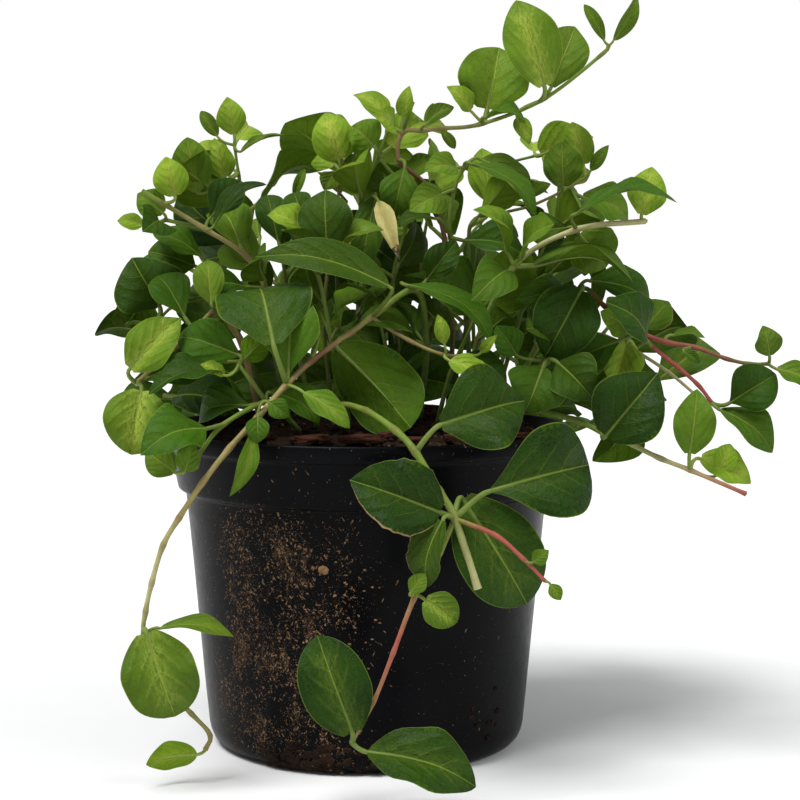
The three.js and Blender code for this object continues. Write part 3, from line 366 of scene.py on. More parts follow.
            ((181, -52, 178), (196, -58, 172), 13, FRONT_UP, MATURE),
            ((160, -53, 163), (179, -58, 176), 22, FRONT, OLD),
            ((156, -50, 160), (180, -58, 144), 17, FRONT_UP, OLD),
            ((113, -31, 189), (85, -29, 176), 24, (0.2, -0.9, 0.4), OLD),
            ((112, -10, 195), (125, 8, 205), 18, (0.0, -0.7, 0.7), OLD),
            ((89, -26, 211), (70, -38, 209), 16, (-0.3, -0.9, 0.1), OLD),
            ((125, -38, 190), (108, -61, 208), 24, (0.3, -0.8, 0.4), OLD),
        ],
        "pairs": [(0, 1)],
    },
    "shoot_right_runner": {
        "stems": [
            (1.8, [(38, -40, 150), (56, -42, 157), (72, -44, 159), (92, -48, 155),
                (104, -52, 150), (112, -54, 147), (129, -58, 139), (142, -60, 134),
                (166, -64, 124)]),
        ],
        "leaves": [
            ((105, -58, 149), (128, -57, 177), 34, FRONT, OLD),
            ((141, -64, 142), (144, -64, 170), 19, FRONT, MATURE),
            ((148, -52, 138), (171, -53, 128), 18, FRONT_UP, YOUNG),
            ((155, -56, 132), (161, -52, 145), 11, FRONT, YOUNG),
            ((80, -39, 159), (98, -28, 158), 15, (0.3, -0.7, 0.7), OLD),
        ],
        "pairs": [],
    },
    "shoot_right_low": {
        "stems": [
            (1.5, [(60, -30, 149), (72, -36, 172), (80, -40, 181)]),
        ],
        "leaves": [
            ((78, -46, 178), (70, -56, 160), 28, FRONT, OLD),
            ((85, -46, 180), (99, -56, 166), 24, FRONT, OLD),
            ((66, -44, 184), (58, -50, 196), 14, FRONT, OLD),
        ],
        "pairs": [],
    },
    "shoot_back_left_low": {
        "stems": [
            (1.6, [(-40, 38, 150), (-58, 54, 172), (-72, 70, 172), (-78, 84, 156),
                (-80, 94, 134)]),
        ],
        "leaves": [
            ((-79, 80, 166), (-90, 83, 188), 17, (-0.3, -0.9, 0.4), OLD),
        ],
        "pairs": [(0, 1), (0, 2), (0, 3), (0, 4)],
    },
    "shoot_back_left_high": {
        "stems": [
            (1.5, [(-26, 44, 150), (-36, 56, 186), (-44, 64, 212), (-54, 70, 230)]),
        ],
        "leaves": [
            ((-41, 69, 218), (-10, 85, 232), 24, (-0.4, -0.8, 0.4), OLD),
        ],
        "pairs": [(0, 1), (0, 2), (0, 3)],
    },
    "shoot_back_middle_low": {
        "stems": [
            (1.7, [(-4, 52, 150), (-8, 74, 170), (-12, 96, 164), (-14, 108, 144),
                (-16, 114, 118), (-16, 116, 92)]),
        ],
        "leaves": [],
        "pairs": [(0, 1), (0, 2), (0, 3), (0, 4), (0, 5)],
    },
    "shoot_back_middle_high": {
        "stems": [
            (1.4, [(6, 40, 151), (4, 50, 196), (0, 56, 234), (-6, 60, 260)]),
        ],
        "leaves": [
            ((5, 63, 235), (25, 91, 239), 27, (0.5, -0.8, 0.2), OLD),
            ((2, 65, 260), (19, 77, 260), 16, (-0.1, -0.9, 0.4), MATURE),
            ((5, 59, 237), (28, 72, 250), 20, (0.8, -0.5, 0.4), MATURE),
            ((3, 52, 231), (16, 35, 221), 18, (-0.6, -0.7, 0.4), OLD),
        ],
        "pairs": [(0, 1), (0, 2), (0, 3)],
    },
    "shoot_back_right_low": {
        "stems": [
            (1.6, [(40, 50, 150), (58, 66, 174), (76, 82, 172), (90, 92, 154), (98, 98, 132)]),
        ],
        "leaves": [
            ((85, 79, 174), (116, 66, 182), 26, (-0.5, -0.6, 0.7), OLD),
        ],
        "pairs": [(0, 1), (0, 2), (0, 3), (0, 4)],
    },
    "shoot_back_right_high": {
        "stems": [
            (1.4, [(24, 46, 151), (34, 60, 196), (46, 70, 228), (62, 76, 248)]),
        ],
        "leaves": [
            ((61, 78, 254), (58, 85, 280), 21, (0.1, -1.0, 0.2), YOUNG),
        ],
        "pairs": [(0, 1), (0, 2), (0, 3)],
    },
    "shoot_right_side": {
        "stems": [
            (1.5, [(66, 14, 149), (86, 22, 176), (104, 30, 186), (122, 34, 178), (134, 36, 162)]),
        ],
        "leaves": [
            ((135, 43, 162), (141, 76, 163), 25, (0.8, -0.4, 0.5), OLD),
        ],
        "pairs": [(0, 1), (0, 2), (0, 3), (0, 4)],
    },
    "shoot_left_side": {
        "stems": [
            (1.5, [(-60, 22, 149), (-78, 28, 176), (-92, 32, 186)]),
        ],
        "leaves": [],
        "pairs": [(0, 1), (0, 2)],
    },
    "shoot_inner_front_left": {
        "stems": [
            (1.4, [(-22, -36, 150), (-29, -38, 176), (-34, -36, 202)]),
        ],
        "leaves": [],
        "pairs": [(0, 1), (0, 2)],
    },
    "shoot_inner_front_middle": {
        "stems": [
            (1.4, [(12, -36, 150), (10, -30, 178), (4, -20, 206)]),
        ],
        "leaves": [],
        "pairs": [(0, 1), (0, 2)],
    },
    "shoot_inner_front_right": {
        "stems": [
            (1.4, [(32, -20, 150), (38, -24, 174), (48, -30, 198)]),
        ],
        "leaves": [],
        "pairs": [(0, 1), (0, 2)],
    },
    "shoot_inner_middle": {
        "stems": [
            (1.4, [(16, 2, 151), (14, 0, 186), (12, 0, 216), (18, 2, 240)]),
        ],
        "leaves": [],
        "pairs": [(0, 1), (0, 2), (0, 3)],
    },
    "shoot_inner_left": {
        "stems": [
            (1.4, [(-32, 8, 151), (-36, 4, 186), (-38, 2, 216), (-42, 0, 240)]),
        ],
        "leaves": [],
        "pairs": [(0, 1), (0, 2), (0, 3)],
    },
    "shoot_inner_right": {
        "stems": [
            (1.4, [(58, 6, 150), (68, 4, 186), (76, 2, 214), (84, 2, 236)]),
        ],
        "leaves": [],
        "pairs": [(0, 1), (0, 2), (0, 3)],
    },
    "shoot_inner_back_left": {
        "stems": [
            (1.4, [(-12, 26, 151), (-14, 28, 190), (-14, 26, 224), (-10, 24, 252)]),
        ],
        "leaves": [],
        "pairs": [(0, 1), (0, 2), (0, 3)],
    },
    "shoot_inner_back_right": {
        "stems": [
            (1.4, [(26, 24, 151), (28, 26, 190), (26, 26, 224), (30, 24, 252)]),
        ],
        "leaves": [],
        "pairs": [(0, 1), (0, 2), (0, 3)],
    },
    "shoot_inner_right_back": {
        "stems": [
            (1.4, [(58, 32, 150), (68, 36, 184), (78, 38, 212), (88, 40, 232)]),
        ],
        "leaves": [],
        "pairs": [(0, 1), (0, 2), (0, 3)],
    },
    "shoot_low_1": {
        "stems": [
            (1.4, [(-68, 23, 149), (-83, 14, 159), (-95, 7, 161)]),
        ],
        "leaves": [
            ((-89, 1, 161), (-62, -26, 159), 27, (-0.3, -0.6, 0.7), OLD),
            ((-88, 6, 161), (-56, 5, 160), 22, (-0.4, -0.6, 0.7), OLD),
            ((-75, 17, 161), (-39, 27, 173), 28, (0.3, -0.9, 0.4), OLD),
            ((-90, 15, 158), (-119, 14, 155), 20, (-0.0, -0.7, 0.8), OLD),
        ],
        "pairs": [],
    },
    "shoot_low_2": {
        "stems": [
            (1.4, [(9, 27, 151), (10, 27, 165), (11, 27, 170)]),
        ],
        "leaves": [
            ((18, 21, 169), (44, -2, 166), 26, (-0.3, -0.9, 0.2), OLD),
            ((3, 24, 169), (-34, 14, 165), 28, (0.9, -0.4, 0.2), OLD),
            ((12, 33, 171), (18, 53, 190), 20, (0.4, -0.9, 0.2), OLD),
        ],
        "pairs": [],
    },
    "shoot_low_3": {
        "stems": [
            (1.4, [(59, 23, 149), (75, 22, 158), (87, 21, 159)]),
        ],
        "leaves": [
            ((96, 23, 157), (124, 30, 152), 21, (0.7, -0.5, 0.5), OLD),
            ((95, 16, 159), (126, -4, 162), 28, (0.1, -0.7, 0.7), OLD),
            ((77, 30, 162), (88, 57, 177), 25, (0.1, -0.9, 0.5), OLD),
        ],
        "pairs": [],
    },
    "shoot_low_4": {
        "stems": [
            (1.4, [(14, 62, 149), (18, 68, 171), (21, 73, 183)]),
        ],
        "leaves": [
            ((27, 79, 182), (54, 106, 180), 30, (0.2, -0.7, 0.7), OLD),
            ((17, 73, 191), (1, 74, 221), 25, (-0.3, -0.6, 0.8), OLD),
            ((21, 76, 173), (36, 110, 181), 28, (0.4, -0.8, 0.5), OLD),
            ((10, 67, 175), (-22, 62, 194), 28, (-0.4, -0.8, 0.4), OLD),
        ],
        "pairs": [],
    },
    "shoot_low_5": {
        "stems": [
            (1.4, [(-37, 9, 151), (-48, 19, 196), (-57, 27, 228)]),
        ],
        "leaves": [
            ((-64, 29, 234), (-92, 39, 259), 28, (-0.8, -0.6, 0.2), OLD),
            ((-63, 34, 227), (-86, 65, 221), 29, (-0.2, -1.0, 0.1), OLD),
        ],
        "pairs": [],
    },
    "shoot_low_6": {
        "stems": [
            (1.4, [(52, 50, 149), (68, 49, 185), (82, 48, 209)]),
        ],
        "leaves": [
            ((87, 55, 212), (111, 84, 222), 30, (-0.3, -0.8, 0.6), OLD),
        ],
        "pairs": [],
    },
    "shoot_low_7": {
        "stems": [
            (1.4, [(-28, 26, 151), (-27, 32, 174), (-25, 37, 188)]),
        ],
        "leaves": [
            ((-33, 39, 185), (-60, 48, 177), 22, (-0.5, -0.7, 0.4), OLD),
        ],
        "pairs": [],
    },
}

# The withered leaf, laid out as the others are, and how its look differs from theirs.
DEAD_LEAF = ((5, -19, 252), (14, -40, 227), 9, FRONT, YOUNG)
DEAD_LOOK = {"twist": 0.6, "cup": 3.2, "droop": 0.1, "wave": 0.12, "lobe": 0.0, "nibble": 0.05}
DEAD_STALK_REACH = (-2.0, 3.0, 2.0)

# Bark chips on the soil: centre, length, width, thickness and turn in degrees.
CHIPS = [
    ((-24, -76), 17, 8, 3.5, 12),
    ((-2, -80), 20, 9, 4, -8),
    ((20, -77), 13, 7, 3, 24),
    ((40, -70), 15, 6, 3, -30),
    ((-48, -62), 14, 8, 3.5, 40),
    ((66, -48), 12, 7, 3, -55),
    ((-70, -34), 13, 6, 3, 70),
    ((8, -66), 10, 6, 3, 60),
    ((-66, 44), 14, 8, 3, -40),
    ((30, 74), 16, 7, 3.5, 15),
]

# ---- Looks of single shoots and leaves -----------------------------------------------------

MOSS = (0.075, 0.125, 0.018)
LIME = (0.165, 0.255, 0.032)
STRAW = (0.33, 0.28, 0.10)
RUSSET = (0.21, 0.095, 0.05)
ROSE = (0.42, 0.10, 0.08)
BONE = (0.52, 0.50, 0.24)
BARE_PITH = (0.06, 0.035, 0.02)
PETIOLE = (0.31, 0.42, 0.08)

# Colours along each stem, as (share of its length, colour). Other stems go from moss to lime.
PLAIN_TINTS = [(0.0, MOSS), (1.0, LIME)]
STEM_TINTS = {
    ("shoot_top_right", 0): [(0.0, MOSS), (0.5, RUSSET), (0.6, STRAW), (0.8, LIME), (1.0, LIME)],
    ("shoot_upper_left", 0): [(0.0, MOSS), (0.4, STRAW), (0.8, STRAW), (1.0, LIME)],
    ("shoot_tan_left", 0): [(0.0, RUSSET), (0.4, STRAW), (1.0, STRAW)],
    ("shoot_left_rim", 0): [(0.0, MOSS), (0.4, LIME), (1.0, LIME)],
    ("shoot_main_runner", 0): [(0.0, MOSS), (0.22, LIME), (0.3, STRAW), (0.36, RUSSET), (0.42, STRAW),
        (0.62, STRAW), (0.75, BONE), (0.88, LIME), (1.0, STRAW)],
    ("shoot_main_runner", 1): [(0.0, STRAW), (1.0, STRAW)],
    ("shoot_front_runner", 0): [(0.0, RUSSET), (0.3, LIME), (0.7, LIME), (1.0, BONE)],
    ("shoot_front_runner", 1): [(0.0, LIME), (0.3, ROSE), (1.0, ROSE)],
    ("shoot_front_runner", 2): [(0.0, LIME), (0.3, STRAW), (0.55, ROSE), (1.0, STRAW)],
    ("shoot_right_arch", 0): [(0.0, MOSS), (0.5, LIME), (0.6, ROSE), (1.0, ROSE)],
    ("shoot_right_arch", 1): [(0.0, ROSE), (0.7, RUSSET), (1.0, LIME)],
    ("shoot_right_arch", 2): [(0.0, LIME), (1.0, BONE)],
    ("shoot_right_runner", 0): [(0.0, MOSS), (0.5, LIME), (0.75, BONE), (1.0, ROSE)],
    ("shoot_right_top", 0): [(0.0, MOSS), (0.5, LIME), (0.7, BONE), (1.0, BONE)],
    ("shoot_heart_leaf", 0): [(0.0, MOSS), (0.7, STRAW), (1.0, RUSSET)],
    ("shoot_right_high", 0): [(0.0, MOSS), (0.6, LIME), (1.0, STRAW)],
}

# Leaves that differ from their kind, by shoot and place in its list: changes to their look.
SPECIAL = {
    ("shoot_front_runner", 0): {"scorch": 1.0, "scorch_side": 1, "nibble": 0.05, "flare": 0.2,
        "blunt": 0.3, "belly": 0.42, "shade": 0.08, "droop": 0.02},
    ("shoot_front_runner", 1): {"scorch": 1.0, "scorch_side": -1, "nibble": 0.06, "flare": 0.1,
        "shade": 0.06},
    ("shoot_front_runner", 2): {"flare": 0.6, "blunt": 0.0, "belly": 0.5, "shade": 0.12, "youth": 0.02},
    ("shoot_front_runner", 3): {"flare": 1.0, "blunt": 1.0, "belly": 0.62, "shade": 0.06, "youth": 0.0},
    ("shoot_front_runner", 4): {"flare": 0.3, "blunt": 0.8, "belly": 0.48, "shade": 0.2, "youth": 0.02},
    ("shoot_front_runner", 7): {"youth": 0.25, "blunt": 0.8},
    ("shoot_front_runner", 9): {"flare": 0.2, "blunt": 0.9, "belly": 0.5, "youth": 0.0, "shade": 0.12},
    ("shoot_front_runner", 10): {"flare": 0.4, "blunt": 0.7, "belly": 0.46, "youth": 0.02, "shade": 0.16},
    ("shoot_right_arch", 0): {"flare": 0.3, "blunt": 0.7, "shade": 0.2, "youth": 0.0},
    ("shoot_right_arch", 3): {"scorch": 0.9, "nibble": 0.03},
    ("shoot_main_runner", 0): {"youth": 0.04, "flare": 0.5, "blunt": 1.0, "belly": 0.54, "droop": 0.26,
        "shade": 0.22, "feather": 0.15, "cup": 0.3, "twist": 0.0},
    ("shoot_main_runner", 1): {"youth": 0.3, "feather": 0.6, "blunt": 1.0, "belly": 0.45, "flare": 0.2},
    ("shoot_main_runner", 7): {"youth": 0.3, "feather": 0.5},
    ("shoot_main_runner", 8): {"youth": 0.02, "blunt": 1.0, "belly": 0.5, "flare": 0.2, "shade": 0.25},
    ("shoot_main_runner", 13): {"youth": 0.1, "shade": 0.1, "blunt": 0.0, "flare": 0.2},
    ("shoot_upper_left", 1): {"blunt": 1.0, "belly": 0.62, "youth": 0.0, "shade": 0.1},
    ("shoot_heart_leaf", 0): {"youth": 1.0, "feather": 1.0, "flare": 0.0, "blunt": 0.5, "belly": 0.42},
    ("shoot_tan_left", 2): {"youth": 0.5, "feather": 1.0, "blunt": 0.9},
    ("shoot_tan_left", 1): {"youth": 0.5, "feather": 0.9},
    ("shoot_right_runner", 0): {"youth": 0.0, "shade": 0.1, "blunt": 0.0, "belly": 0.4, "flare": 0.2},
    ("shoot_top_right", 2): {"youth": 0.45, "feather": 1.0, "blunt": 0.35, "belly": 0.48, "flare": 0.3,
        "shade": 0.6},
}

# Stems that run to a cut end: shares of their frame radius at the start and at the cut.
CUT_ENDS = {
    ("shoot_front_runner", 0): (0.62, 0.9),
    ("shoot_right_top", 0): (0.62, 0.72),
    ("shoot_upper_left", 0): (0.7, 0.62),
}

# ---- Sizes of the detail -------------------------------------------------------------------

MM = 0.001                   # metres
BLADE_ROWS = 20
SMALL_BLADE, SMALL_ROWS = 13, 14     # blades narrower than this have fewer rows
BLADE_COLUMNS = 6            # on each side of the midrib
BLADE_THICKNESS = 0.5
STEM_STEP = 2.2
STEM_SIDES, STALK_SIDES = 10, 6
NODE_SWELL, NODE_REACH = 0.32, 2.2
TUBE_CAP = 0.4               # a closed end's height as a share of the radius
HOLLOW = 1.4                 # depth of a cut end
VEIN_PAIRS = 4.2
VEIN_LEAN = 0.28
VEIN_CURVE = 0.36
POT_SEGMENTS = 160
SOIL_SEGMENTS = 200
DRAIN_HOLES, DRAIN_CIRCLE, DRAIN_RADIUS = 8, 52, 5.0
FOOT_RADIUS, FOOT_HEIGHT, WALL_SLOPE = 73.4, 8, 0.095

# The pot's outline from the middle of its foot, up the outside and down the inside: radius, height.
POT_PROFILE = [
    (0, 0.6), (30, 0.6), (31, 0), (62, 0), (66.5, 0.3), (69.8, 1.6), (72, 4.0), (73.2, 7.0),
    (73.8, 10), (75.4, 27), (77.0, 45), (78.7, 63), (80.4, 81), (82.0, 98), (83.3, 112),
    (83.9, 117.6), (84.3, 118.6), (85.2, 119.2), (86.6, 119.6), (87.3, 120.2), (87.6, 121.4),
    (88.2, 124.2), (88.9, 128), (90.2, 133), (91.4, 138), (91.8, 139.2), (92.4, 139.9),
    (93.8, 140.2), (94.6, 140.8), (94.9, 141.8), (95.0, 144), (94.9, 146.6), (94.6, 147.6),
    (94.1, 148.0), (93.6, 147.7), (93.2, 146.6), (91.2, 141.4), (90.2, 140.2), (88.2, 131),
    (86.2, 123), (85.6, 121.6), (82.6, 120.2), (82.0, 117), (77.5, 70), (71.8, 9.4),
    (69.4, 4.6), (65, 2.5), (0, 2.4),
]

# Clods stuck to the wall one by one: x, height and size. The last lump is a pale one.
CLODS = [(-21, 96, 2.2), (26, 58, 1.8), (-6, 47, 1.8), (-33, 78, 2.0), (-28, 40, 2.2), (58, 34, 2.4)]
PALE_LUMP, PALE_LUMP_PLACE = (4.6, 2.6, 3.8), (-18.5, -79.3, 93)

# How young and how feathered blades of each age look, from 0 to 1.
YOUTH = {OLD: 0.0, MATURE: 0.3, YOUNG: 0.8}
FEATHER = {OLD: 0.12, MATURE: 0.35, YOUNG: 0.8}

# Where blades are widest, how far they narrow into their stalks and how blunt their tips are.
BELLY = {OLD: (0.42, 0.56), MATURE: (0.38, 0.50), YOUNG: (0.34, 0.45)}
FLARE = {OLD: (0.3, 1.0), MATURE: (0.1, 0.6), YOUNG: (0.0, 0.5)}
BLUNT = {OLD: (0.2, 0.8), MATURE: (0.1, 0.6), YOUNG: (0.0, 0.4)}

# ---- The stage: the camera in metres and degrees, and the lights ---------------------------

CAMERA_PLACE = (0, -0.9437, 0.2414)
CAMERA_SPREAD = 22.29
CAMERA_TURN, CAMERA_TILT, CAMERA_ROLL = -0.936, 85.047, 0.137
KEY_FROM, KEY_SPREAD = (-0.35, -0.35, 1.0), 30
SIDE_FROM, SIDE_SPREAD, SIDE_SHARE = (1.0, -0.35, 0.6), 25, 0.25
FLOOR_REACH = 30000          # millimetres each way


# ---- Growth: the same curves and fill leaves as the frame's --------------------------------


def unit(vector):
    return vector / np.linalg.norm(vector)


def point_on(points, t):
    """A point of the smooth curve through some points, at t from 0 to 1."""
    last = len(points) - 1
    place = last * t
    i = int(math.floor(place))
    w = place - i
    if i == last:
        i, w = last - 1, 1.0
    before = points[i - 1] if i > 0 else 2 * points[0] - points[1]
    after = points[i + 2] if i + 2 <= last else 2 * points[last] - points[last - 1]
    a, b = points[i], points[i + 1]
    slope_a, slope_b = 0.5 * (b - before), 0.5 * (after - a)
    square = -3 * a + 3 * b - 2 * slope_a - slope_b
    cube = 2 * a - 2 * b + slope_a + slope_b
    return a + slope_a * w + square * w * w + cube * w * w * w


def curve_lengths(points):
    """The curve's length up to the end of each of its steps, from 0."""
    spots = np.array([point_on(points, i / CURVE_STEPS) for i in range(CURVE_STEPS + 1)])
    steps = np.linalg.norm(np.diff(spots, axis=0), axis=1)
    return np.concatenate([[0.0], np.cumsum(steps)])


def spaced_points(points, count):
    """count + 1 points of the curve, an equal length apart."""
    lengths = curve_lengths(points)
    found = []
    for i in range(count + 1):
        target = i / count * lengths[-1]
        low = min(int(np.searchsorted(lengths, target, side="right")) - 1, CURVE_STEPS)
        if low >= CURVE_STEPS:
            found.append(point_on(points, 1.0))
            continue
        share = (target - lengths[low]) / (lengths[low + 1] - lengths[low])
        found.append(point_on(points, (low + share) / CURVE_STEPS))
    return np.array(found)


def blade_axes(base, tip, face):
    """Along the midrib, across it, and out of the upper face."""
    along = unit(tip - base)
    across = unit(np.cross(face, along))
    return along, across, unit(np.cross(along, across))


class Draws:
    """Small repeatable random numbers, the same as the frame's."""

    def __init__(self, seed):
        self.seed = seed

    def between(self, low, high):
        self.seed = (self.seed * 1664525 + 1013904223) % 4294967296
        return low + (high - low) * (self.seed / 4294967296)


def leaf_samples(leaf):
    """Points spread over a leaf's blade and stalk."""
    _, across, out = blade_axes(leaf["base"], leaf["tip"], leaf["face"])
    length = np.linalg.norm(leaf["tip"] - leaf["base"])
    samples = []
    for row in range(SAMPLE_ROWS):
        u = row / (SAMPLE_ROWS - 1)
        half = leaf["width"] / 2 * math.sqrt(max(0.0, 1 - (2 * u - 0.9) ** 2 / 1.21))
        middle = leaf["base"] + (leaf["tip"] - leaf["base"]) * u
        for side in (-1, -0.5, 0, 0.5, 1):
            rise = ARCH * length * math.sin(math.pi * u) + FOLD * 2 * half * abs(side)
            samples.append(middle + across * (half * side) + out * rise)
    for step in (1, 2, 3):
        samples.append(leaf["node"] + (leaf["base"] - leaf["node"]) * (step / 4))
    return np.array(samples)


def listed_leaf(base, tip, width, face, age, look):
    """A leaf from the layout, with what is special about its look."""
    return {
        "base": np.array(base, float), "tip": np.array(tip, float), "width": width,
        "face": np.array(face, float), "age": age, "fill": False, "look": look,
    }


class Placed:
    """Sample points of everything placed so far, with the number of their shoot."""

    def __init__(self):
        self.points = np.zeros((0, 3))
        self.shoots = np.zeros(0, int)

    def add(self, shoot, points):
        self.points = np.vstack([self.points, points])
        self.shoots = np.concatenate([self.shoots, np.full(len(points), shoot)])

    def is_clear(self, samples, shoot):
        """Whether the samples are off the pot and the floor, and clear of every other shoot."""
        over_pot = np.hypot(samples[:, 0], samples[:, 1]) < RIM_RADIUS + 4
        low = over_pot & (samples[:, 2] < POT_HEIGHT + 5)
        if low.any() or (samples[:, 2] < 4).any():
            return False
        others = self.points[self.shoots != shoot]
        near = ((others > samples.min(0) - CLEARANCE) & (others < samples.max(0) + CLEARANCE)).all(1)
        others = others[near]
        gaps = ((others[:, None, :] - samples[None, :, :]) ** 2).sum(2)
        return not (gaps < CLEARANCE * CLEARANCE).any()


def turned_about(vector, axis, angle):
    """The vector turned about an axis of unit length."""
    return (
        vector * math.cos(angle)
        + np.cross(axis, vector) * math.sin(angle)
        + axis * (axis @ vector) * (1 - math.cos(angle))
    )


def fill_leaf(draws, placed, stems, index, place, turn):
    """A leaf at a stem's node, with its samples, or None if no try is clear of other shoots."""
    stem, spot = place
    node, before = stems[stem][1][spot], stems[stem][1][spot - 1]
    growth = unit(node - before)
    across = unit(np.array([growth[1], -growth[0], 0.001]))
    outward = unit(np.array([node[0], node[1], 0.0]))
    for attempt in range(FILL_TRIES):
        angle = turn + draws.between(-0.35, 0.35) * (1 + attempt / 8)
        heading = turned_about(across, growth, angle) + growth * draws.between(0.2, 0.7)
        heading = unit(heading + np.array([0.0, 0.0, draws.between(0.0, 0.5)]))
        length = draws.between(*FILL_LENGTH) * (1 - attempt / (2 * FILL_TRIES))
        base = node + heading * FILL_STALK
        face = outward * draws.between(0.4, 1.0)
        face[2] += draws.between(0.5, 1.0)
        leaf = {
            "node": node, "base": base, "tip": base + heading * length,
            "width": FILL_WIDTH * length, "face": face, "age": OLD, "fill": True, "look": {},
        }
        samples = leaf_samples(leaf)
        if placed.is_clear(samples, index):
            return leaf, samples
    return None


def grow_shoots():
    """Every shoot's stems and leaves, with the fill leaves turned clear of other shoots."""
    draws, placed = Draws(20), Placed()
    grown = {}
    for index, (name, shoot) in enumerate(SHOOTS.items()):
        stems = [(radius, [np.array(p, float) for p in points]) for radius, points in shoot["stems"]]
        grown[name] = {"stems": stems, "leaves": []}
        for _, points in stems:
            placed.add(index, spaced_points(points, math.ceil(curve_lengths(points)[-1] / STEM_SAMPLE)))
    for index, (name, shoot) in enumerate(SHOOTS.items()):
        nodes = [p for _, points in grown[name]["stems"] for p in points]
        for order, row in enumerate(shoot["leaves"]):
            leaf = listed_leaf(*row, SPECIAL.get((name, order), {}))
            leaf["node"] = min(nodes, key=lambda p: np.linalg.norm(p - leaf["base"]))
            grown[name]["leaves"].append(leaf)
            placed.add(index, leaf_samples(leaf))
    for index, (name, shoot) in enumerate(SHOOTS.items()):
        for order, place in enumerate(shoot["pairs"]):
            quarter = order % 2 * (math.pi / 2)
            for half in (0, math.pi):
                found = fill_leaf(draws, placed, grown[name]["stems"], index, place, quarter + half)
                if found:
                    grown[name]["leaves"].append(found[0])
                    placed.add(index, found[1])
    return grown


# ---- Node trees ----------------------------------------------------------------------------


class Nodes:
    """Adds nodes to a tree. An input given a socket is linked, and any other value is set."""

    def __init__(self, tree):
        self.tree = tree

    def add(self, kind, inputs=None, **settings):
        node = self.tree.nodes.new(kind)
        for key, value in settings.items():
            setattr(node, key, value)
        for key, value in (inputs or {}).items():
            self.put(node.inputs[key], value)
        return node

    def put(self, socket, value):
        if isinstance(value, bpy.types.NodeSocket):
            self.tree.links.new(value, socket)
        else:
            socket.default_value = value

    def math(self, operation, *values, clamp=False):
        node = self.add("ShaderNodeMath", dict(enumerate(values)), operation=operation)
        node.use_clamp = clamp
        return node.outputs[0]

    def times(self, a, b):
        return self.math("MULTIPLY", a, b)

    def scaled(self, value, by, plus):
        return self.math("MULTIPLY_ADD", value, by, plus)

    def most(self, a, b):
        return self.math("MAXIMUM", a, b)

    def sized(self, vector, by):
        return self.add("ShaderNodeVectorMath", {0: vector, "Scale": by}, operation="SCALE").outputs[0]

    def parts(self, vector):
        return self.add("ShaderNodeSeparateXYZ", {0: vector}).outputs

    def step(self, value, low, high):
        """0 below low, 1 above high, and smooth between. The other way round if low is above high."""
        inputs = {"Value": value, "From Min": min(low, high), "From Max": max(low, high)}
        inputs.update({"To Min": 0.0, "To Max": 1.0} if low < high else {"To Min": 1.0, "To Max": 0.0})
        return self.add("ShaderNodeMapRange", inputs, interpolation_type="SMOOTHSTEP").outputs[0]

    def mix(self, factor, a, b, blend="MIX"):
        a, b = ((*c, 1.0) if isinstance(c, tuple) and len(c) == 3 else c for c in (a, b))
        inputs = {0: factor, 6: a, 7: b}
        return self.add("ShaderNodeMix", inputs, data_type="RGBA", blend_type=blend).outputs[2]

    def noise(self, vector, scale, detail=3.0, roughness=0.5):
        inputs = {"Vector": vector, "Scale": scale, "Detail": detail, "Roughness": roughness}
        return self.add("ShaderNodeTexNoise", inputs).outputs[0]

    def voronoi(self, vector, scale, feature="F1", output="Distance"):
        inputs = {"Vector": vector, "Scale": scale}
        return self.add("ShaderNodeTexVoronoi", inputs, feature=feature).outputs[output]

    def stretched(self, vector, scale):
        return self.add("ShaderNodeVectorMath", {0: vector, 1: scale}, operation="MULTIPLY").outputs[0]

    def attribute(self, name, output="Fac"):
        return self.add("ShaderNodeAttribute", attribute_name=name).outputs[output]

    def place(self):
        """Where a point is on its own piece, in metres."""
        return self.add("ShaderNodeTexCoord").outputs["Object"]

    def specks(self, vector, scale, share, stretch=(1.0, 1.0, 1.0), turn=(0.0, 0.0, 0.0)):
        inputs = {"Vector": vector, "Scale": scale, "Share": share, "Stretch": stretch, "Turn": turn}
        return self.group("Speckle", inputs)

    def mottle(self, vector, scale):
        return self.group("Mottle", {"Vector": vector, "Scale": scale})

    def group(self, name, inputs):
        node = self.add("ShaderNodeGroup", node_tree=bpy.data.node_groups[name])
        for key, value in inputs.items():
            self.put(node.inputs[key], value)
        return node.outputs

    def bump(self, height, strength, distance):
        inputs = {"Height": height, "Strength": strength, "Distance": distance}
        return self.add("ShaderNodeBump", inputs).outputs[0]


def new_group(name, inputs, outputs):
    """An empty node group. Returns its Nodes, its inputs' sockets and its output node."""
    tree = bpy.data.node_groups.new(name, "ShaderNodeTree")
    for label, kind in inputs:
        tree.interface.new_socket(label, in_out="INPUT", socket_type=kind)
    for label in outputs:
        tree.interface.new_socket(label, in_out="OUTPUT", socket_type="NodeSocketFloat")
    nodes = Nodes(tree)
    return nodes, nodes.add("NodeGroupInput").outputs, nodes.add("NodeGroupOutput").inputs


def mottle_group():
    """Soft uneven tone at three scales."""
    nodes, given, out = new_group(
        "Mottle", [("Vector", "NodeSocketVector"), ("Scale", "NodeSocketFloat")], ["Broad", "Fine"]
    )
    broad = nodes.noise(given["Vector"], given["Scale"], 3.0, 0.55)
    fine = nodes.noise(given["Vector"], nodes.times(given["Scale"], 7.0), 4.0, 0.6)
    nodes.put(out["Broad"], nodes.step(broad, 0.3, 0.7))
    nodes.put(out["Fine"], nodes.step(fine, 0.25, 0.75))


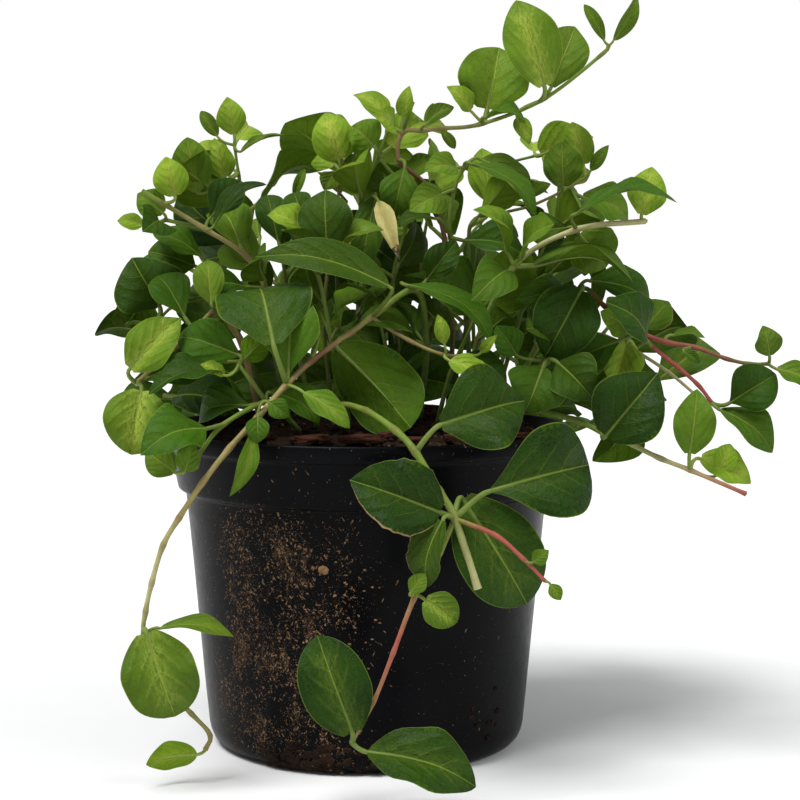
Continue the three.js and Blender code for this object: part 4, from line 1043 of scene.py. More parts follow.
def speckle_group():
    """Separate specks of uneven size. Share is how much of the surface they may take, and Stretch
    draws them out into fibres."""
    nodes, given, out = new_group(
        "Speckle",
        [("Vector", "NodeSocketVector"), ("Scale", "NodeSocketFloat"), ("Share", "NodeSocketFloat"),
            ("Stretch", "NodeSocketVector"), ("Turn", "NodeSocketVector")],
        ["Mask", "Pick"],
    )
    turning = {"Vector": given["Vector"], "Rotation": given["Turn"]}
    turned_place = nodes.add("ShaderNodeMapping", turning).outputs[0]
    drawn = nodes.stretched(turned_place, given["Stretch"])
    wobble = nodes.add("ShaderNodeTexNoise", {"Vector": given["Vector"], "Scale": 700.0}).outputs[1]
    small = nodes.sized(wobble, 0.0010)
    bent = nodes.add("ShaderNodeVectorMath", {0: drawn, 1: small}, operation="ADD").outputs[0]
    cell = nodes.voronoi(bent, given["Scale"])
    pick = nodes.voronoi(bent, given["Scale"], output="Color")
    pick = nodes.add("ShaderNodeSeparateColor", {0: pick}).outputs[0]
    chosen = nodes.math("LESS_THAN", pick, given["Share"])
    size = nodes.times(nodes.math("FRACT", nodes.times(pick, 37.0)), 0.26)
    inside = nodes.math("LESS_THAN", cell, nodes.math("ADD", size, 0.12))
    nodes.put(out["Mask"], nodes.times(chosen, inside))
    nodes.put(out["Pick"], nodes.math("FRACT", nodes.times(pick, 91.0)))


def blade_group():
    """A blade's midrib, side veins, feathering and margin, from its map and its edge share."""
    nodes, given, out = new_group(
        "Blade Veins",
        [("Blade", "NodeSocketVector"), ("Edge", "NodeSocketFloat")],
        ["Midrib", "Veins", "Feather", "Margin", "Net", "Pillow"],
    )
    parts = nodes.parts(given["Blade"])
    u = parts[0]
    side = nodes.math("ABSOLUTE", nodes.scaled(parts[1], 2.0, -1.0))
    taper = nodes.scaled(u, -0.044, 0.058)
    midrib = nodes.math("SUBTRACT", 1.0, nodes.math("DIVIDE", side, taper), clamp=True)
    lean = nodes.times(side, VEIN_LEAN)
    curve = nodes.times(nodes.math("POWER", side, 2.0), VEIN_CURVE)
    line = nodes.math("SUBTRACT", u, nodes.math("ADD", lean, curve))
    line = nodes.scaled(nodes.noise(given["Blade"], 5.0, 2.0), 0.09, line)
    phase = nodes.math("FRACT", nodes.scaled(line, VEIN_PAIRS, 10.5))
    gap = nodes.math("ABSOLUTE", nodes.math("SUBTRACT", phase, 0.5))
    outward = nodes.step(given["Edge"], 0.9, 0.3)
    veins = nodes.times(nodes.step(gap, 0.06, 0.015), outward)
    inner = nodes.times(nodes.step(u, -0.02, 0.06), nodes.step(u, 0.98, 0.8))
    halo = nodes.times(nodes.step(gap, 0.34, 0.05), nodes.step(side, 0.75, 0.1))
    ragged = nodes.noise(nodes.stretched(given["Blade"], (3.0, 6.0, 1.0)), 4.0, 4.0, 0.65)
    spine = nodes.step(side, 0.5, 0.04)
    feather = nodes.times(nodes.most(halo, spine), nodes.step(ragged, 0.3, 0.6))
    cells = nodes.voronoi(given["Blade"], 26.0, feature="DISTANCE_TO_EDGE")
    nodes.put(out["Midrib"], midrib)
    nodes.put(out["Veins"], nodes.times(veins, inner))
    nodes.put(out["Feather"], nodes.times(feather, nodes.step(u, 1.0, 0.75)))
    nodes.put(out["Margin"], nodes.step(given["Edge"], 0.965, 0.995))
    nodes.put(out["Net"], nodes.step(cells, 0.12, 0.0))
    between = nodes.times(nodes.step(gap, 0.0, 0.42), nodes.step(side, 0.0, 0.22))
    nodes.put(out["Pillow"], nodes.times(between, nodes.step(given["Edge"], 1.0, 0.7)))


def shaded(color, by):
    """A plain colour made darker or lighter."""
    return tuple(c * by for c in color)


def new_material(name, roughness, **constants):
    """A material with its Principled shader's own values set. Returns it, its Nodes and the shader."""
    material = bpy.data.materials.new(name)
    material.use_nodes = True
    shader = material.node_tree.nodes["Principled BSDF"]
    shader.inputs["Roughness"].default_value = roughness
    for key, value in constants.items():
        shader.inputs[key.replace("_", " ").title().replace("Ior", "IOR")].default_value = value
    return material, Nodes(material.node_tree), shader.inputs


def leaf_material(name, settings, under):
    """The waxy upper skin of a blade, or its paler and duller underside."""
    material, nodes, skin = new_material(name, 0.42, Specular_IOR_Level=0.06 if under else 0.09)
    spot = nodes.place()
    blade = nodes.add("ShaderNodeUVMap", uv_map="blade").outputs[0]
    edge = nodes.attribute("edge")
    tone = nodes.add("ShaderNodeSeparateColor", {0: nodes.attribute("tone", "Color")}).outputs
    veins = nodes.group("Blade Veins", {"Blade": blade, "Edge": edge})
    mottle = nodes.mottle(spot, 55.0)
    deep, bright = tuple(settings.deep_color), tuple(settings.bright_color)
    if under:
        deep, bright = ((r * 1.5 + 0.014, g * 1.4 + 0.014, b * 1.3) for r, g, b in (deep, bright))
    flesh = nodes.mix(nodes.scaled(mottle["Broad"], 0.3, tone[2]), deep, bright)
    flesh = nodes.mix(tone[0], flesh, tuple(settings.young_color))
    flesh = nodes.mix(nodes.times(mottle["Broad"], 0.45), flesh, (0.45, 0.55, 0.4), "MULTIPLY")
    flesh = nodes.mix(nodes.times(mottle["Fine"], 0.15), flesh, (0.6, 0.65, 0.4), "MULTIPLY")
    # Painted shade and light on the quilting: the colour is darker next to the veins and lighter on the
    # puffs between them.
    pillow_shading = nodes.scaled(veins["Pillow"], 0.16, 0.92)
    flesh = nodes.sized(flesh, pillow_shading)
    feather = nodes.times(tone[1], 0.35 if under else 0.7)
    feather = nodes.times(veins["Feather"], feather)
    pale = nodes.mix(tone[0], tuple(settings.vein_color), tuple(settings.feather_color))
    flesh = nodes.mix(feather, flesh, pale)
    clear = nodes.scaled(tone[0], 0.15, 0.11)
    flesh = nodes.mix(nodes.times(veins["Veins"], clear), flesh, pale)
    flesh = nodes.mix(nodes.times(veins["Net"], 0.05), flesh, pale)
    flesh = nodes.mix(nodes.times(veins["Midrib"], 0.75), flesh, pale)
    flesh = nodes.mix(nodes.times(veins["Margin"], 0.4), flesh, pale)
    ragged = nodes.scaled(mottle["Fine"], 0.05, edge)
    scorched = nodes.times(nodes.step(ragged, 0.965, 0.995), nodes.attribute("scorch"))
    flesh = nodes.mix(scorched, flesh, tuple(settings.scorch_color))
    nodes.put(skin["Base Color"], flesh)
    rough = nodes.scaled(mottle["Broad"], 0.12, 0.55 if under else settings.wax_roughness)
    nodes.put(skin["Roughness"], nodes.scaled(veins["Midrib"], 0.1, rough))
    ribs = nodes.most(veins["Veins"], veins["Midrib"])
    height = nodes.math("ADD", nodes.times(ribs, 1.0 if under else -1.0), mottle["Fine"])
    height = nodes.scaled(veins["Net"], -0.3, height)
    height = nodes.scaled(veins["Pillow"], -1.0 if under else 1.4, height)
    nodes.put(skin["Normal"], nodes.bump(height, 0.7, 0.00030))
    return material


def stem_material(name):
    """The smooth skin of stems and stalks, over the tint that each point of them has."""
    material, nodes, skin = new_material(name, 0.5, Specular_IOR_Level=0.2)
    mottle = nodes.mottle(nodes.place(), 160.0)
    tint = nodes.attribute("tint", "Color")
    color = nodes.mix(nodes.times(mottle["Broad"], 0.45), tint, (0.55, 0.5, 0.42), "MULTIPLY")
    color = nodes.mix(nodes.times(mottle["Fine"], 0.2), color, (0.4, 0.3, 0.2), "MULTIPLY")
    nodes.put(skin["Base Color"], color)
    nodes.put(skin["Roughness"], nodes.scaled(mottle["Fine"], 0.2, 0.42))
    nodes.put(skin["Normal"], nodes.bump(mottle["Fine"], 0.35, 0.0002))
    return material


def dead_leaf_material(name):
    """Dry straw-coloured skin, brown at the tip."""
    material, nodes, skin = new_material(name, 0.7)
    spot = nodes.place()
    blade = nodes.add("ShaderNodeUVMap", uv_map="blade").outputs[0]
    veins = nodes.group("Blade Veins", {"Blade": blade, "Edge": nodes.attribute("edge")})
    mottle = nodes.mottle(spot, 90.0)
    specks = nodes.specks(spot, 420.0, 0.3)
    u = nodes.parts(blade)[0]
    color = nodes.mix(mottle["Broad"], (0.46, 0.42, 0.15), (0.36, 0.30, 0.09))
    color = nodes.mix(nodes.times(veins["Midrib"], 0.7), color, (0.55, 0.50, 0.24))
    near_tip = nodes.step(nodes.scaled(mottle["Fine"], 0.16, u), 0.9, 1.0)
    color = nodes.mix(nodes.times(near_tip, 0.95), color, (0.035, 0.016, 0.008))
    spots = nodes.times(specks["Mask"], nodes.step(u, 0.62, 0.8))
    color = nodes.mix(spots, color, (0.05, 0.022, 0.01))
    nodes.put(skin["Base Color"], color)
    nodes.put(skin["Normal"], nodes.bump(mottle["Fine"], 0.5, 0.0003))
    return material


def pot_material(name, settings):
    """Black plastic with a satin skin, dusted with dry potting mix low on the front left."""
    material, nodes, skin = new_material(name, 0.4, Specular_IOR_Level=0.05)
    spot = nodes.place()
    at = nodes.parts(spot)
    mottle = nodes.mottle(spot, 28.0)
    left = nodes.times(nodes.step(at[0], 0.010, -0.026), nodes.step(at[0], -0.074, -0.056))
    front = nodes.step(at[1], 0.01, -0.03)
    low = nodes.times(nodes.step(at[2], 0.124, 0.100), nodes.step(at[2], -0.01, 0.012))
    patch = nodes.times(nodes.times(left, front), low)
    streaks = nodes.noise(nodes.stretched(spot, (1.0, 1.0, 0.65)), 74.0, 6.0, 0.7)
    dusty = nodes.times(patch, nodes.step(streaks, 0.38, 0.66))
    thin = nodes.scaled(patch, 0.06, 0.02)
    share = nodes.scaled(dusty, settings.dust_share, thin)
    fewer = nodes.times(share, 0.5)
    kinds = [
        nodes.specks(spot, 1250.0, share, (1.0, 1.0, 0.22), (0.0, 0.7, 0.0)),
        nodes.specks(spot, 1100.0, share, (1.0, 1.0, 0.2), (0.0, -0.5, 0.0)),
        nodes.specks(spot, 1150.0, fewer, (0.24, 1.0, 1.0)),
        nodes.specks(spot, 2300.0, share),
        nodes.specks(spot, 620.0, nodes.times(share, 0.14)),
    ]
    specks = kinds[0]["Mask"]
    for kind in kinds[1:]:
        specks = nodes.most(specks, kind["Mask"])
    cloudy = nodes.times(nodes.noise(spot, 420.0, 6.0, 0.8), dusty)
    film = nodes.times(nodes.step(cloudy, 0.3, 0.75), 0.2)
    black = tuple(settings.plastic_color)
    color = nodes.mix(nodes.times(mottle["Broad"], 0.6), black, shaded(black, 1.8))
    dust = tuple(settings.dust_color)
    color = nodes.mix(film, color, dust)
    bit = nodes.mix(kinds[0]["Pick"], dust, shaded(dust, 0.3))
    color = nodes.mix(nodes.times(specks, 0.85), color, bit)
    nodes.put(skin["Base Color"], color)
    rough = nodes.scaled(mottle["Fine"], 0.08, settings.plastic_roughness)
    rough = nodes.scaled(dusty, 0.12, rough)
    nodes.put(skin["Roughness"], nodes.most(rough, nodes.times(specks, 0.9)))
    dents = nodes.noise(nodes.stretched(spot, (1.0, 1.0, 0.3)), 16.0, 2.0, 0.4)
    height = nodes.scaled(specks, 3.0, nodes.times(mottle["Fine"], 0.4))
    height = nodes.scaled(dents, 6.0, height)
    nodes.put(skin["Normal"], nodes.bump(height, 0.5, 0.00018))
    return material


def soil_material(name, settings):
    """Dark damp mix with pale fibres in it."""
    material, nodes, skin = new_material(name, 0.9, Specular_IOR_Level=0.1)
    spot = nodes.place()
    mottle = nodes.mottle(spot, 120.0)
    specks = nodes.specks(spot, 480.0, 0.22, (1.0, 1.0, 0.5), (0.6, 0.4, 0.0))
    dark = tuple(settings.soil_color)
    color = nodes.mix(mottle["Broad"], dark, shaded(dark, 2.6))
    pale = tuple(settings.fibre_color)
    fibre = nodes.mix(specks["Pick"], pale, shaded(pale, 0.4))
    color = nodes.mix(nodes.times(specks["Mask"], 0.8), color, fibre)
    nodes.put(skin["Base Color"], color)
    nodes.put(skin["Roughness"], nodes.scaled(mottle["Fine"], 0.15, 0.8))
    nodes.put(skin["Normal"], nodes.bump(mottle["Fine"], 0.9, 0.0008))
    return material


def fibre_material(name, settings):
    """Dry coir, in small bits."""
    material, nodes, skin = new_material(name, 0.9, Specular_IOR_Level=0.1)
    mottle = nodes.mottle(nodes.place(), 300.0)
    pale = tuple(settings.fibre_color)
    nodes.put(skin["Base Color"], nodes.mix(mottle["Broad"], shaded(pale, 0.5), pale))
    nodes.put(skin["Normal"], nodes.bump(mottle["Fine"], 0.6, 0.0003))
    return material


def bark_material(name, settings):
    """Rough red-brown bark with its grain along the chip."""
    material, nodes, skin = new_material(name, 0.8, Specular_IOR_Level=0.15)
    grain = nodes.stretched(nodes.place(), (1.0, 2.2, 3.5))
    mottle = nodes.mottle(grain, 150.0)
    bark = tuple(settings.bark_color)
    color = nodes.mix(mottle["Broad"], shaded(bark, 0.35), bark)
    color = nodes.mix(nodes.times(mottle["Fine"], 0.5), color, (0.015, 0.008, 0.005))
    nodes.put(skin["Base Color"], color)
    nodes.put(skin["Roughness"], nodes.scaled(mottle["Fine"], 0.2, 0.68))
    nodes.put(skin["Normal"], nodes.bump(mottle["Fine"], 0.8, 0.0006))
    return material


def material_of(name, make, *given):
    """The material of that name, made on first use."""
    return bpy.data.materials.get(name) or make(name, *given)


# ---- Meshes --------------------------------------------------------------------------------


class Build:
    """Vertices, faces and their values, gathered from many parts into one mesh in metres."""

    def __init__(self):
        self.vertices, self.faces, self.kinds = [], [], []
        self.values = {}
        self.map = []

    def add(self, vertices, faces, kind=0, uv=None, **values):
        """Add a part, in millimetres. Kind is the material's number, or a list with each face's."""
        first = len(self.vertices)
        self.vertices.extend(tuple(v) for v in np.asarray(vertices) * MM)
        self.kinds += kind if isinstance(kind, list) else [kind] * len(faces)
        for f in faces:
            self.faces.append(tuple(first + i for i in f))
            if uv is not None:
                self.map.extend(uv[i] for i in f)
        for key, value in values.items():
            self.values.setdefault(key, []).extend(value)

    def finish(self, name, materials, smooth=True):
        mesh = bpy.data.meshes.new(name)
        mesh.from_pydata(self.vertices, [], self.faces)
        for material in materials:
            mesh.materials.append(material)
        mesh.polygons.foreach_set("material_index", self.kinds)
        mesh.polygons.foreach_set("use_smooth", [smooth] * len(self.faces))
        if self.map:
            layer = mesh.uv_layers.new(name="blade")
            layer.data.foreach_set("uv", np.array(self.map, np.float32).ravel())
        for key, value in self.values.items():
            value = np.array(value, np.float32)
            if value.ndim == 1:
                mesh.attributes.new(key, "FLOAT", "POINT").data.foreach_set("value", value)
            else:
                full = np.hstack([value, np.ones((len(value), 1), np.float32)])
                made = mesh.attributes.new(key, "FLOAT_COLOR", "POINT")
                made.data.foreach_set("color", full.ravel())
        mesh.update()
        mesh.set_sharp_from_angle(angle=math.radians(70))
        piece = bpy.data.objects.new(name, mesh)
        bpy.context.scene.collection.objects.link(piece)
        return piece


def settled(piece, slot, *nodes):
    """The piece rides on the body and stands for some nodes. Its slot is not used."""
    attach(piece, "root")
    if nodes:
        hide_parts(*nodes)
    return piece


def tube(path, radii, sides=8, cut=False):
    """A closed tube along a path, with a hollow at its end if cut. Returns its vertices, its faces
    and each vertex's path point."""
    count = len(path)
    run = np.gradient(path, axis=0)
    run /= np.linalg.norm(run, axis=1)[:, None]
    across = unit(np.cross(run[0], (0.31, 0.52, 0.79)))
    rings = [(path[i], radii[i], i) for i in range(count)]
    reach = radii[-1] * TUBE_CAP
    if cut:
        rings += [(path[-1] + run[-1] * 0.1, radii[-1] * 0.55, count - 1)]
        reach = -HOLLOW
    vertices, owner = [], []
    turns = 2 * math.pi * np.arange(sides) / sides
    for centre, radius, i in rings:
        across = unit(across - run[i] * (across @ run[i]))
        other = np.cross(run[i], across)
        for turn in turns:
            vertices.append(centre + radius * (math.cos(turn) * across + math.sin(turn) * other))
            owner.append(i)
    vertices += [path[0] - run[0] * radii[0] * TUBE_CAP, path[-1] + run[-1] * reach]
    owner += [0, count - 1]
    faces = []
    last = len(rings) - 1
    start, end = len(rings) * sides, len(rings) * sides + 1
    for j in range(sides):
        k = (j + 1) % sides
        for i in range(last):
            faces.append((i * sides + j, i * sides + k, (i + 1) * sides + k, (i + 1) * sides + j))
        faces.append((start, k, j))
        faces.append((end, last * sides + j, last * sides + k))
    return vertices, faces, owner


def outline_share(u, look):
    """Share of the full width at u along a blade, from its stalk to its tip."""
    belly, flare, blunt = look["belly"], look["flare"], look["blunt"]
    low = np.clip(np.asarray(u, float) / belly, 0, 1)
    high = np.clip((np.asarray(u, float) - belly) / (1 - belly), 0, 1)
    rounded = (1 - (1 - low) ** 2.3) ** 0.55
    flared = 0.5 - 0.5 * np.cos(math.pi * low ** 0.8)
    tip = (1 - high ** (1.8 + blunt)) ** (1 - 0.38 * blunt)
    return np.where(low < 1, rounded + (flared - rounded) * flare, tip)


def blade_look(leaf, rng):
    """How this blade differs from the plain one."""
    age, slim = leaf["age"], leaf["width"] / np.linalg.norm(leaf["tip"] - leaf["base"])
    look = {
        "belly": rng.uniform(*BELLY[age]),
        "flare": rng.uniform(*FLARE[age]),
        "blunt": rng.uniform(*BLUNT[age]),
        "cup": rng.uniform(0.8, 2.1),
        "droop": rng.uniform(0.03, 0.2) * (1.3 if age == OLD else 0.7),
        "wave": rng.uniform(0.06, 0.18),
        "waves": rng.uniform(1.0, 2.2),
        "phase": rng.uniform(0, 6.28),
        "twist": rng.uniform(-0.55, 0.55),
        "lobe": 0.05 if slim > 0.6 else 0.0,
        "youth": YOUTH[age] + rng.uniform(-0.08, 0.15),
        "feather": FEATHER[age] * rng.uniform(0.5, 1.2),
        "shade": rng.uniform(0.0, 1.0),
        "scorch": 0.0,
        "scorch_side": 0,
        "nibble": 0.0,
        "ribs": 0.35,
    }
    if leaf["fill"]:
        # Fill leaves are younger and lighter the higher their tips: partly the young growth near the
        # shoot tips, partly a painted glow of light shining through the top leaves.
        look["youth"] = rng.uniform(0.0, 0.35) + max(0.0, (leaf["tip"][2] - 225) / 130)
        look["feather"] = rng.uniform(0.05, 0.5)
        # Fill leaves sit mostly inside the bush and keep to darker tones: partly random leaf tone, partly
        # painted shade of the dense interior.
        look["shade"] = rng.uniform(0.0, 0.65)
    look.update(leaf["look"])
    return look


def blade_surface(leaf, look, u, s):
    """Points of a blade's upper face. u and s are arrays of one shape: along 0 to 1, across -1 to 1."""
    along, across, out = blade_axes(leaf["base"], leaf["tip"], leaf["face"])
    length = np.linalg.norm(leaf["tip"] - leaf["base"])
    share = outline_share(u, look)
    ragged = 1 + look["nibble"] * np.sin(31 * u + 3 * np.sign(s)) * np.sin(11 * u + look["phase"])
    half = leaf["width"] / 2 * share * ragged
    a = np.abs(s)
    x = length * (u - look["lobe"] * s * s * np.exp(-9 * u))
    y = half * s
    z = ARCH * length * np.sin(math.pi * np.clip(u, 0, 1))
    z = z + FOLD * 2 * half * look["cup"] * (2.3 * a - 1.3 * a ** 2.2)
    z = z - look["droop"] * length * np.clip((u - 0.55) / 0.45, 0, 1) ** 2
    swell = np.sin(2 * math.pi * (look["waves"] * u) + look["phase"] + np.where(s < 0, 2.1, 0.0))
    z = z + look["wave"] * leaf["width"] / 2 * swell * a ** 2.5 * np.sin(math.pi * np.clip(u, 0, 1))
    rise = VEIN_LEAN * a * share + VEIN_CURVE * (a * share) ** 2
    quilt = np.sin(math.pi * ((u - rise) * VEIN_PAIRS + 0.5)) ** 2
    z = z + 0.028 * leaf["width"] * look["ribs"] * (quilt - 0.5) * np.sin(math.pi * a) * share
    turn = look["twist"] * (u - 0.3)
    y, z = y * np.cos(turn) - z * np.sin(turn) * 0.3, z + y * np.sin(turn)
    return leaf["base"] + x[..., None] * along + y[..., None] * across + z[..., None] * out


def sheet_faces(sheet, turned_over):
    """Faces over a grid of vertex numbers. Corners that share a vertex are joined."""
    faces = []
    rows, columns = sheet.shape
    for i in range(rows - 1):
        for j in range(columns - 1):
            quad = [sheet[i, j], sheet[i + 1, j], sheet[i + 1, j + 1], sheet[i, j + 1]]
            if turned_over:
                quad = quad[::-1]
            faces.append(tuple(corner for n, corner in enumerate(quad) if corner != quad[n - 1]))
    return faces


def add_blade(build, leaf, look):
    """One blade as a thin closed skin: kind 0 on its upper face and 1 on its underside."""
    rows, columns = BLADE_ROWS, 2 * BLADE_COLUMNS + 1
    if leaf["width"] < SMALL_BLADE:
        rows = SMALL_ROWS
    t = np.linspace(0, 1, rows + 1)
    t = 0.5 * t + 0.5 * (0.5 - 0.5 * np.cos(math.pi * t))
    s = np.linspace(-1, 1, columns)
    s = np.sign(s) * np.abs(s) ** 1.15
    u, s = np.meshgrid(t, s, indexing="ij")
    top = blade_surface(leaf, look, u, s)
    _, _, out = blade_axes(leaf["base"], leaf["tip"], leaf["face"])
    share = outline_share(u, look)
    depth = BLADE_THICKNESS * (1 - np.abs(s) ** 3) * np.minimum(1, share * 2)
    bottom = top - depth[..., None] * out
    vertices, uv, edge, scorch = [], [], [], []

    def put(point, i, j):
        vertices.append(point)
        uv.append((u[i, j], 0.5 + 0.5 * s[i, j] * share[i, j]))
        edge.append(abs(s[i, j]))
        on_side = look["scorch_side"] * s[i, j] >= 0
        scorch.append(look["scorch"] if on_side else 0.0)
        return len(vertices) - 1

    upper = np.zeros((rows + 1, columns), int)
    lower = np.zeros((rows + 1, columns), int)
    for i in range(1, rows):
        for j in range(columns):
            upper[i, j] = put(top[i, j], i, j)
            on_rim = j in (0, columns - 1)
            lower[i, j] = upper[i, j] if on_rim else put(bottom[i, j], i, j)
    for i in (0, rows):
        upper[i, :] = lower[i, :] = put(top[i, BLADE_COLUMNS], i, BLADE_COLUMNS)
    above, below = sheet_faces(upper, True), sheet_faces(lower, False)
    kinds = [0] * len(above) + [1] * len(below)
    tone = [np.clip((look["youth"], look["feather"], look["shade"]), 0, 1)] * len(vertices)
    build.add(vertices, above + below, kinds, uv, edge=edge, tone=tone, scorch=scorch)


def tint_at(tints, share):
    """The colour at a share of a stem's length."""
    marks = [m for m, _ in tints]
    return np.array([np.interp(share, marks, [c[k] for _, c in tints]) for k in range(3)])


def add_stem(build, name, order, radius, path, nodes):
    """A stem that thins towards its end and swells at its nodes."""
    share = np.linspace(0, 1, len(path))
    cut = (name, order) in CUT_ENDS
    thick, thin = CUT_ENDS.get((name, order), (0.86, 0.52))
    radii = radius * (thick + (thin - thick) * share)
    nodes = np.array(nodes[:-1] if cut else nodes)
    node_gap = np.min(np.linalg.norm(path[:, None] - nodes[None], axis=2), axis=1)
    swell = np.exp(-((node_gap / NODE_REACH) ** 2))
    radii = radii * (1 + NODE_SWELL * swell)
    if cut:
        radii[-1] *= 1.06
    vertices, faces, owner = tube(path, radii, STEM_SIDES, cut)
    tints = STEM_TINTS.get((name, order), PLAIN_TINTS)
    colors = []
    for i in owner:
        blush = 0.35 * swell[i]
        colors.append(tint_at(tints, share[i]) * (1 - blush) + np.array(RUSSET) * blush)
    if cut:
        colors[-1] = np.array(BARE_PITH)
    build.add(vertices, faces, tint=colors)


def add_stalk(build, leaf, look, root):
    """A leaf's stalk, which runs on as a rib under the blade's midrib."""
    base = leaf["base"]
    along, _, out = blade_axes(base, leaf["tip"], leaf["face"])
    reach = np.linalg.norm(base - root)
    bend = base - along * min(4.0, reach * 0.5)
    path = [root * (1 - t) ** 2 + bend * 2 * t * (1 - t) + base * t * t for t in np.linspace(0, 1, 7)]
    u = np.array([0.06, 0.16, 0.3, 0.45, 0.6, 0.74])
    ribs = blade_surface(leaf, look, u, np.zeros(6)) - out * 0.35
    path = np.array(path[:-1] + [base - out * 0.2] + list(ribs))
    big = min(1.5, 0.55 + leaf["width"] / 34)
    radii = big * np.array([1.0, 0.9, 0.85, 0.8, 0.8, 0.8, 0.75, 0.65, 0.55, 0.45, 0.36, 0.27, 0.18])
    vertices, faces, _ = tube(path, radii, STALK_SIDES)
    pale, moss = np.array(PETIOLE), np.array(MOSS)
    youth = min(1.0, max(0.0, look["youth"]))
    tone = moss + (pale - moss) * (0.35 + 0.65 * youth)
    build.add(vertices, faces, tint=[tone] * len(vertices))


def nearest_spot(paths, point):
    """The point of some paths that is nearest to a point."""
    spots = np.vstack(paths)
    return spots[np.argmin(np.linalg.norm(spots - point, axis=1))]


def lathe(profile, segments, shift):
    """A closed body of revolution from a profile that starts and ends on the axis, in millimetres."""
    turns = 2 * math.pi * np.arange(segments) / segments
    vertices, faces = [(0.0, 0.0, profile[0][1])], []
    rings = profile[1:-1]
    for radius, z in rings:
        for turn in turns:
            r, dz = shift(radius, z, turn)
            vertices.append((r * math.cos(turn), r * math.sin(turn), z + dz))
    vertices.append((0.0, 0.0, profile[-1][1]))
    end = len(vertices) - 1
    for j in range(segments):
        k = (j + 1) % segments
        faces.append((0, 1 + k, 1 + j))
        for i in range(len(rings) - 1):
            a, b = 1 + i * segments, 1 + (i + 1) * segments
            faces.append((a + j, a + k, b + k, b + j))
        a = 1 + (len(rings) - 1) * segments
        faces.append((a + j, a + k, end))
    return vertices, faces


def lump(rng, size, rough=0.35, rounds=1, boxy=0.25):
    """A small irregular clod or chip: a rounded box with its corners pushed about."""
    steps = 2 + rounds
    grid = np.linspace(-1, 1, steps + 1)
    points, index, faces = [], {}, []

    def corner(p):
        key = tuple(np.round(p, 4))
        if key not in index:
            index[key] = len(points)
            points.append(np.array(p))
        return index[key]

    for axis in range(3):
        for sign in (-1, 1):
            for i in range(steps):
                for j in range(steps):
                    quad = []
                    for di, dj in ((0, 0), (1, 0), (1, 1), (0, 1)):
                        p = np.zeros(3)
                        p[axis] = sign
                        p[(axis + 1) % 3] = grid[i + di]
                        p[(axis + 2) % 3] = grid[j + dj]
                        quad.append(corner(p))
                    faces.append(tuple(quad if sign > 0 else quad[::-1]))
    points = np.array(points)
    round_off = points / np.linalg.norm(points, axis=1)[:, None]
    points = boxy * points + (1 - boxy) * round_off * 1.2
    points = points * (1 + rough * np.array([[rng.uniform(-1, 1) for _ in range(3)] for _ in points]))
    return points * (np.array(size) / 2) / 1.2, faces


def soil_top(radius):
    """Height of the soil, which is mounded in the middle and falls to its edge."""
    if radius <= SOIL_SHOULDER:
        return SOIL_CROWN_Z - SOIL_DOME * (radius / SOIL_SHOULDER) ** 2
    fall = (radius - SOIL_SHOULDER) / (COLLAR_RADIUS - WALL - SOIL_SHOULDER)
    shoulder_z = SOIL_CROWN_Z - SOIL_DOME
    return shoulder_z - (shoulder_z - SOIL_EDGE_Z) * min(1, fall)


def turned(points, rng, tilt):
    """The points turned about Z at random, and tilted by up to a little."""
    turn = Matrix.Rotation(rng.uniform(0, 6.28), 3, "Z")
    turn = turn @ Matrix.Rotation(rng.uniform(-tilt, tilt), 3, "X")
    return points @ np.array(turn).T


# ---- Settings ------------------------------------------------------------------------------


def color_of(name, description, default):
    return bpy.props.FloatVectorProperty(
        name=name, description=description, default=default, subtype="COLOR", min=0, max=1
    )


def amount_of(name, description, default, **limits):
    return bpy.props.FloatProperty(name=name, description=description, default=default, min=0, **limits)


class PERIWINKLE_PG_leaves(bpy.types.PropertyGroup):
    deep_color: color_of("Deep Leaf", "Darkest full-grown leaves", (0.0040, 0.0195, 0.0022))
    bright_color: color_of("Bright Leaf", "Brightest full-grown leaves", (0.042, 0.114, 0.0045))
    # The young tone is also a painted glow of light shining through the high leaves.
    young_color: color_of("Young Leaf", "Leaves near a shoot's tip", (0.225, 0.375, 0.022))
    vein_color: color_of("Vein", "Veins and margins of old leaves", (0.225, 0.330, 0.040))
    feather_color: color_of("Feathering", "Along the veins of young leaves", (0.54, 0.60, 0.09))
    scorch_color: color_of("Scorch", "Withered leaf edges", (0.26, 0.18, 0.09))
    wax_roughness: amount_of("Wax Roughness", "Roughness of a leaf's waxy upper face", 0.34, max=1)


class PERIWINKLE_PG_pot(bpy.types.PropertyGroup):
    plastic_color: color_of("Plastic", "Colour of the pot", (0.0022, 0.0023, 0.0028))
    dust_color: color_of("Dust", "Dry mix stuck to the pot", (0.30, 0.180, 0.092))
    dust_share: amount_of(
        "Dust", "How much of the dusty patch the specks take", 0.8, max=1, subtype="FACTOR"
    )
    plastic_roughness: amount_of("Plastic Roughness", "Roughness of clean plastic", 0.27, max=1)


class PERIWINKLE_PG_soil(bpy.types.PropertyGroup):
    soil_color: color_of("Soil", "Damp potting mix", (0.012, 0.0065, 0.004))
    fibre_color: color_of("Fibre", "Coir and bark crumbs", (0.32, 0.190, 0.095))
    bark_color: color_of("Bark", "Bark chips", (0.12, 0.040, 0.019))
    crumbs: bpy.props.IntProperty(
        name="Crumbs", description="Number of loose crumbs on the soil", default=420, min=0, max=2000
    )
    roughness: amount_of(
        "Lumpiness", "Height of the soil's lumps", 0.0022, max=0.006, unit="LENGTH", subtype="DISTANCE"
    )


class PERIWINKLE_PG_stage(bpy.types.PropertyGroup):
    floor_color: color_of("Floor", "Colour of the pale floor", (0.84, 0.84, 0.84))
    key_strength: amount_of("Key Light", "Strength of the soft light from above", 3.15)
    sky_strength: amount_of("Sky", "Strength of the light from all round", 0.37)


# ---- Operators -----------------------------------------------------------------------------


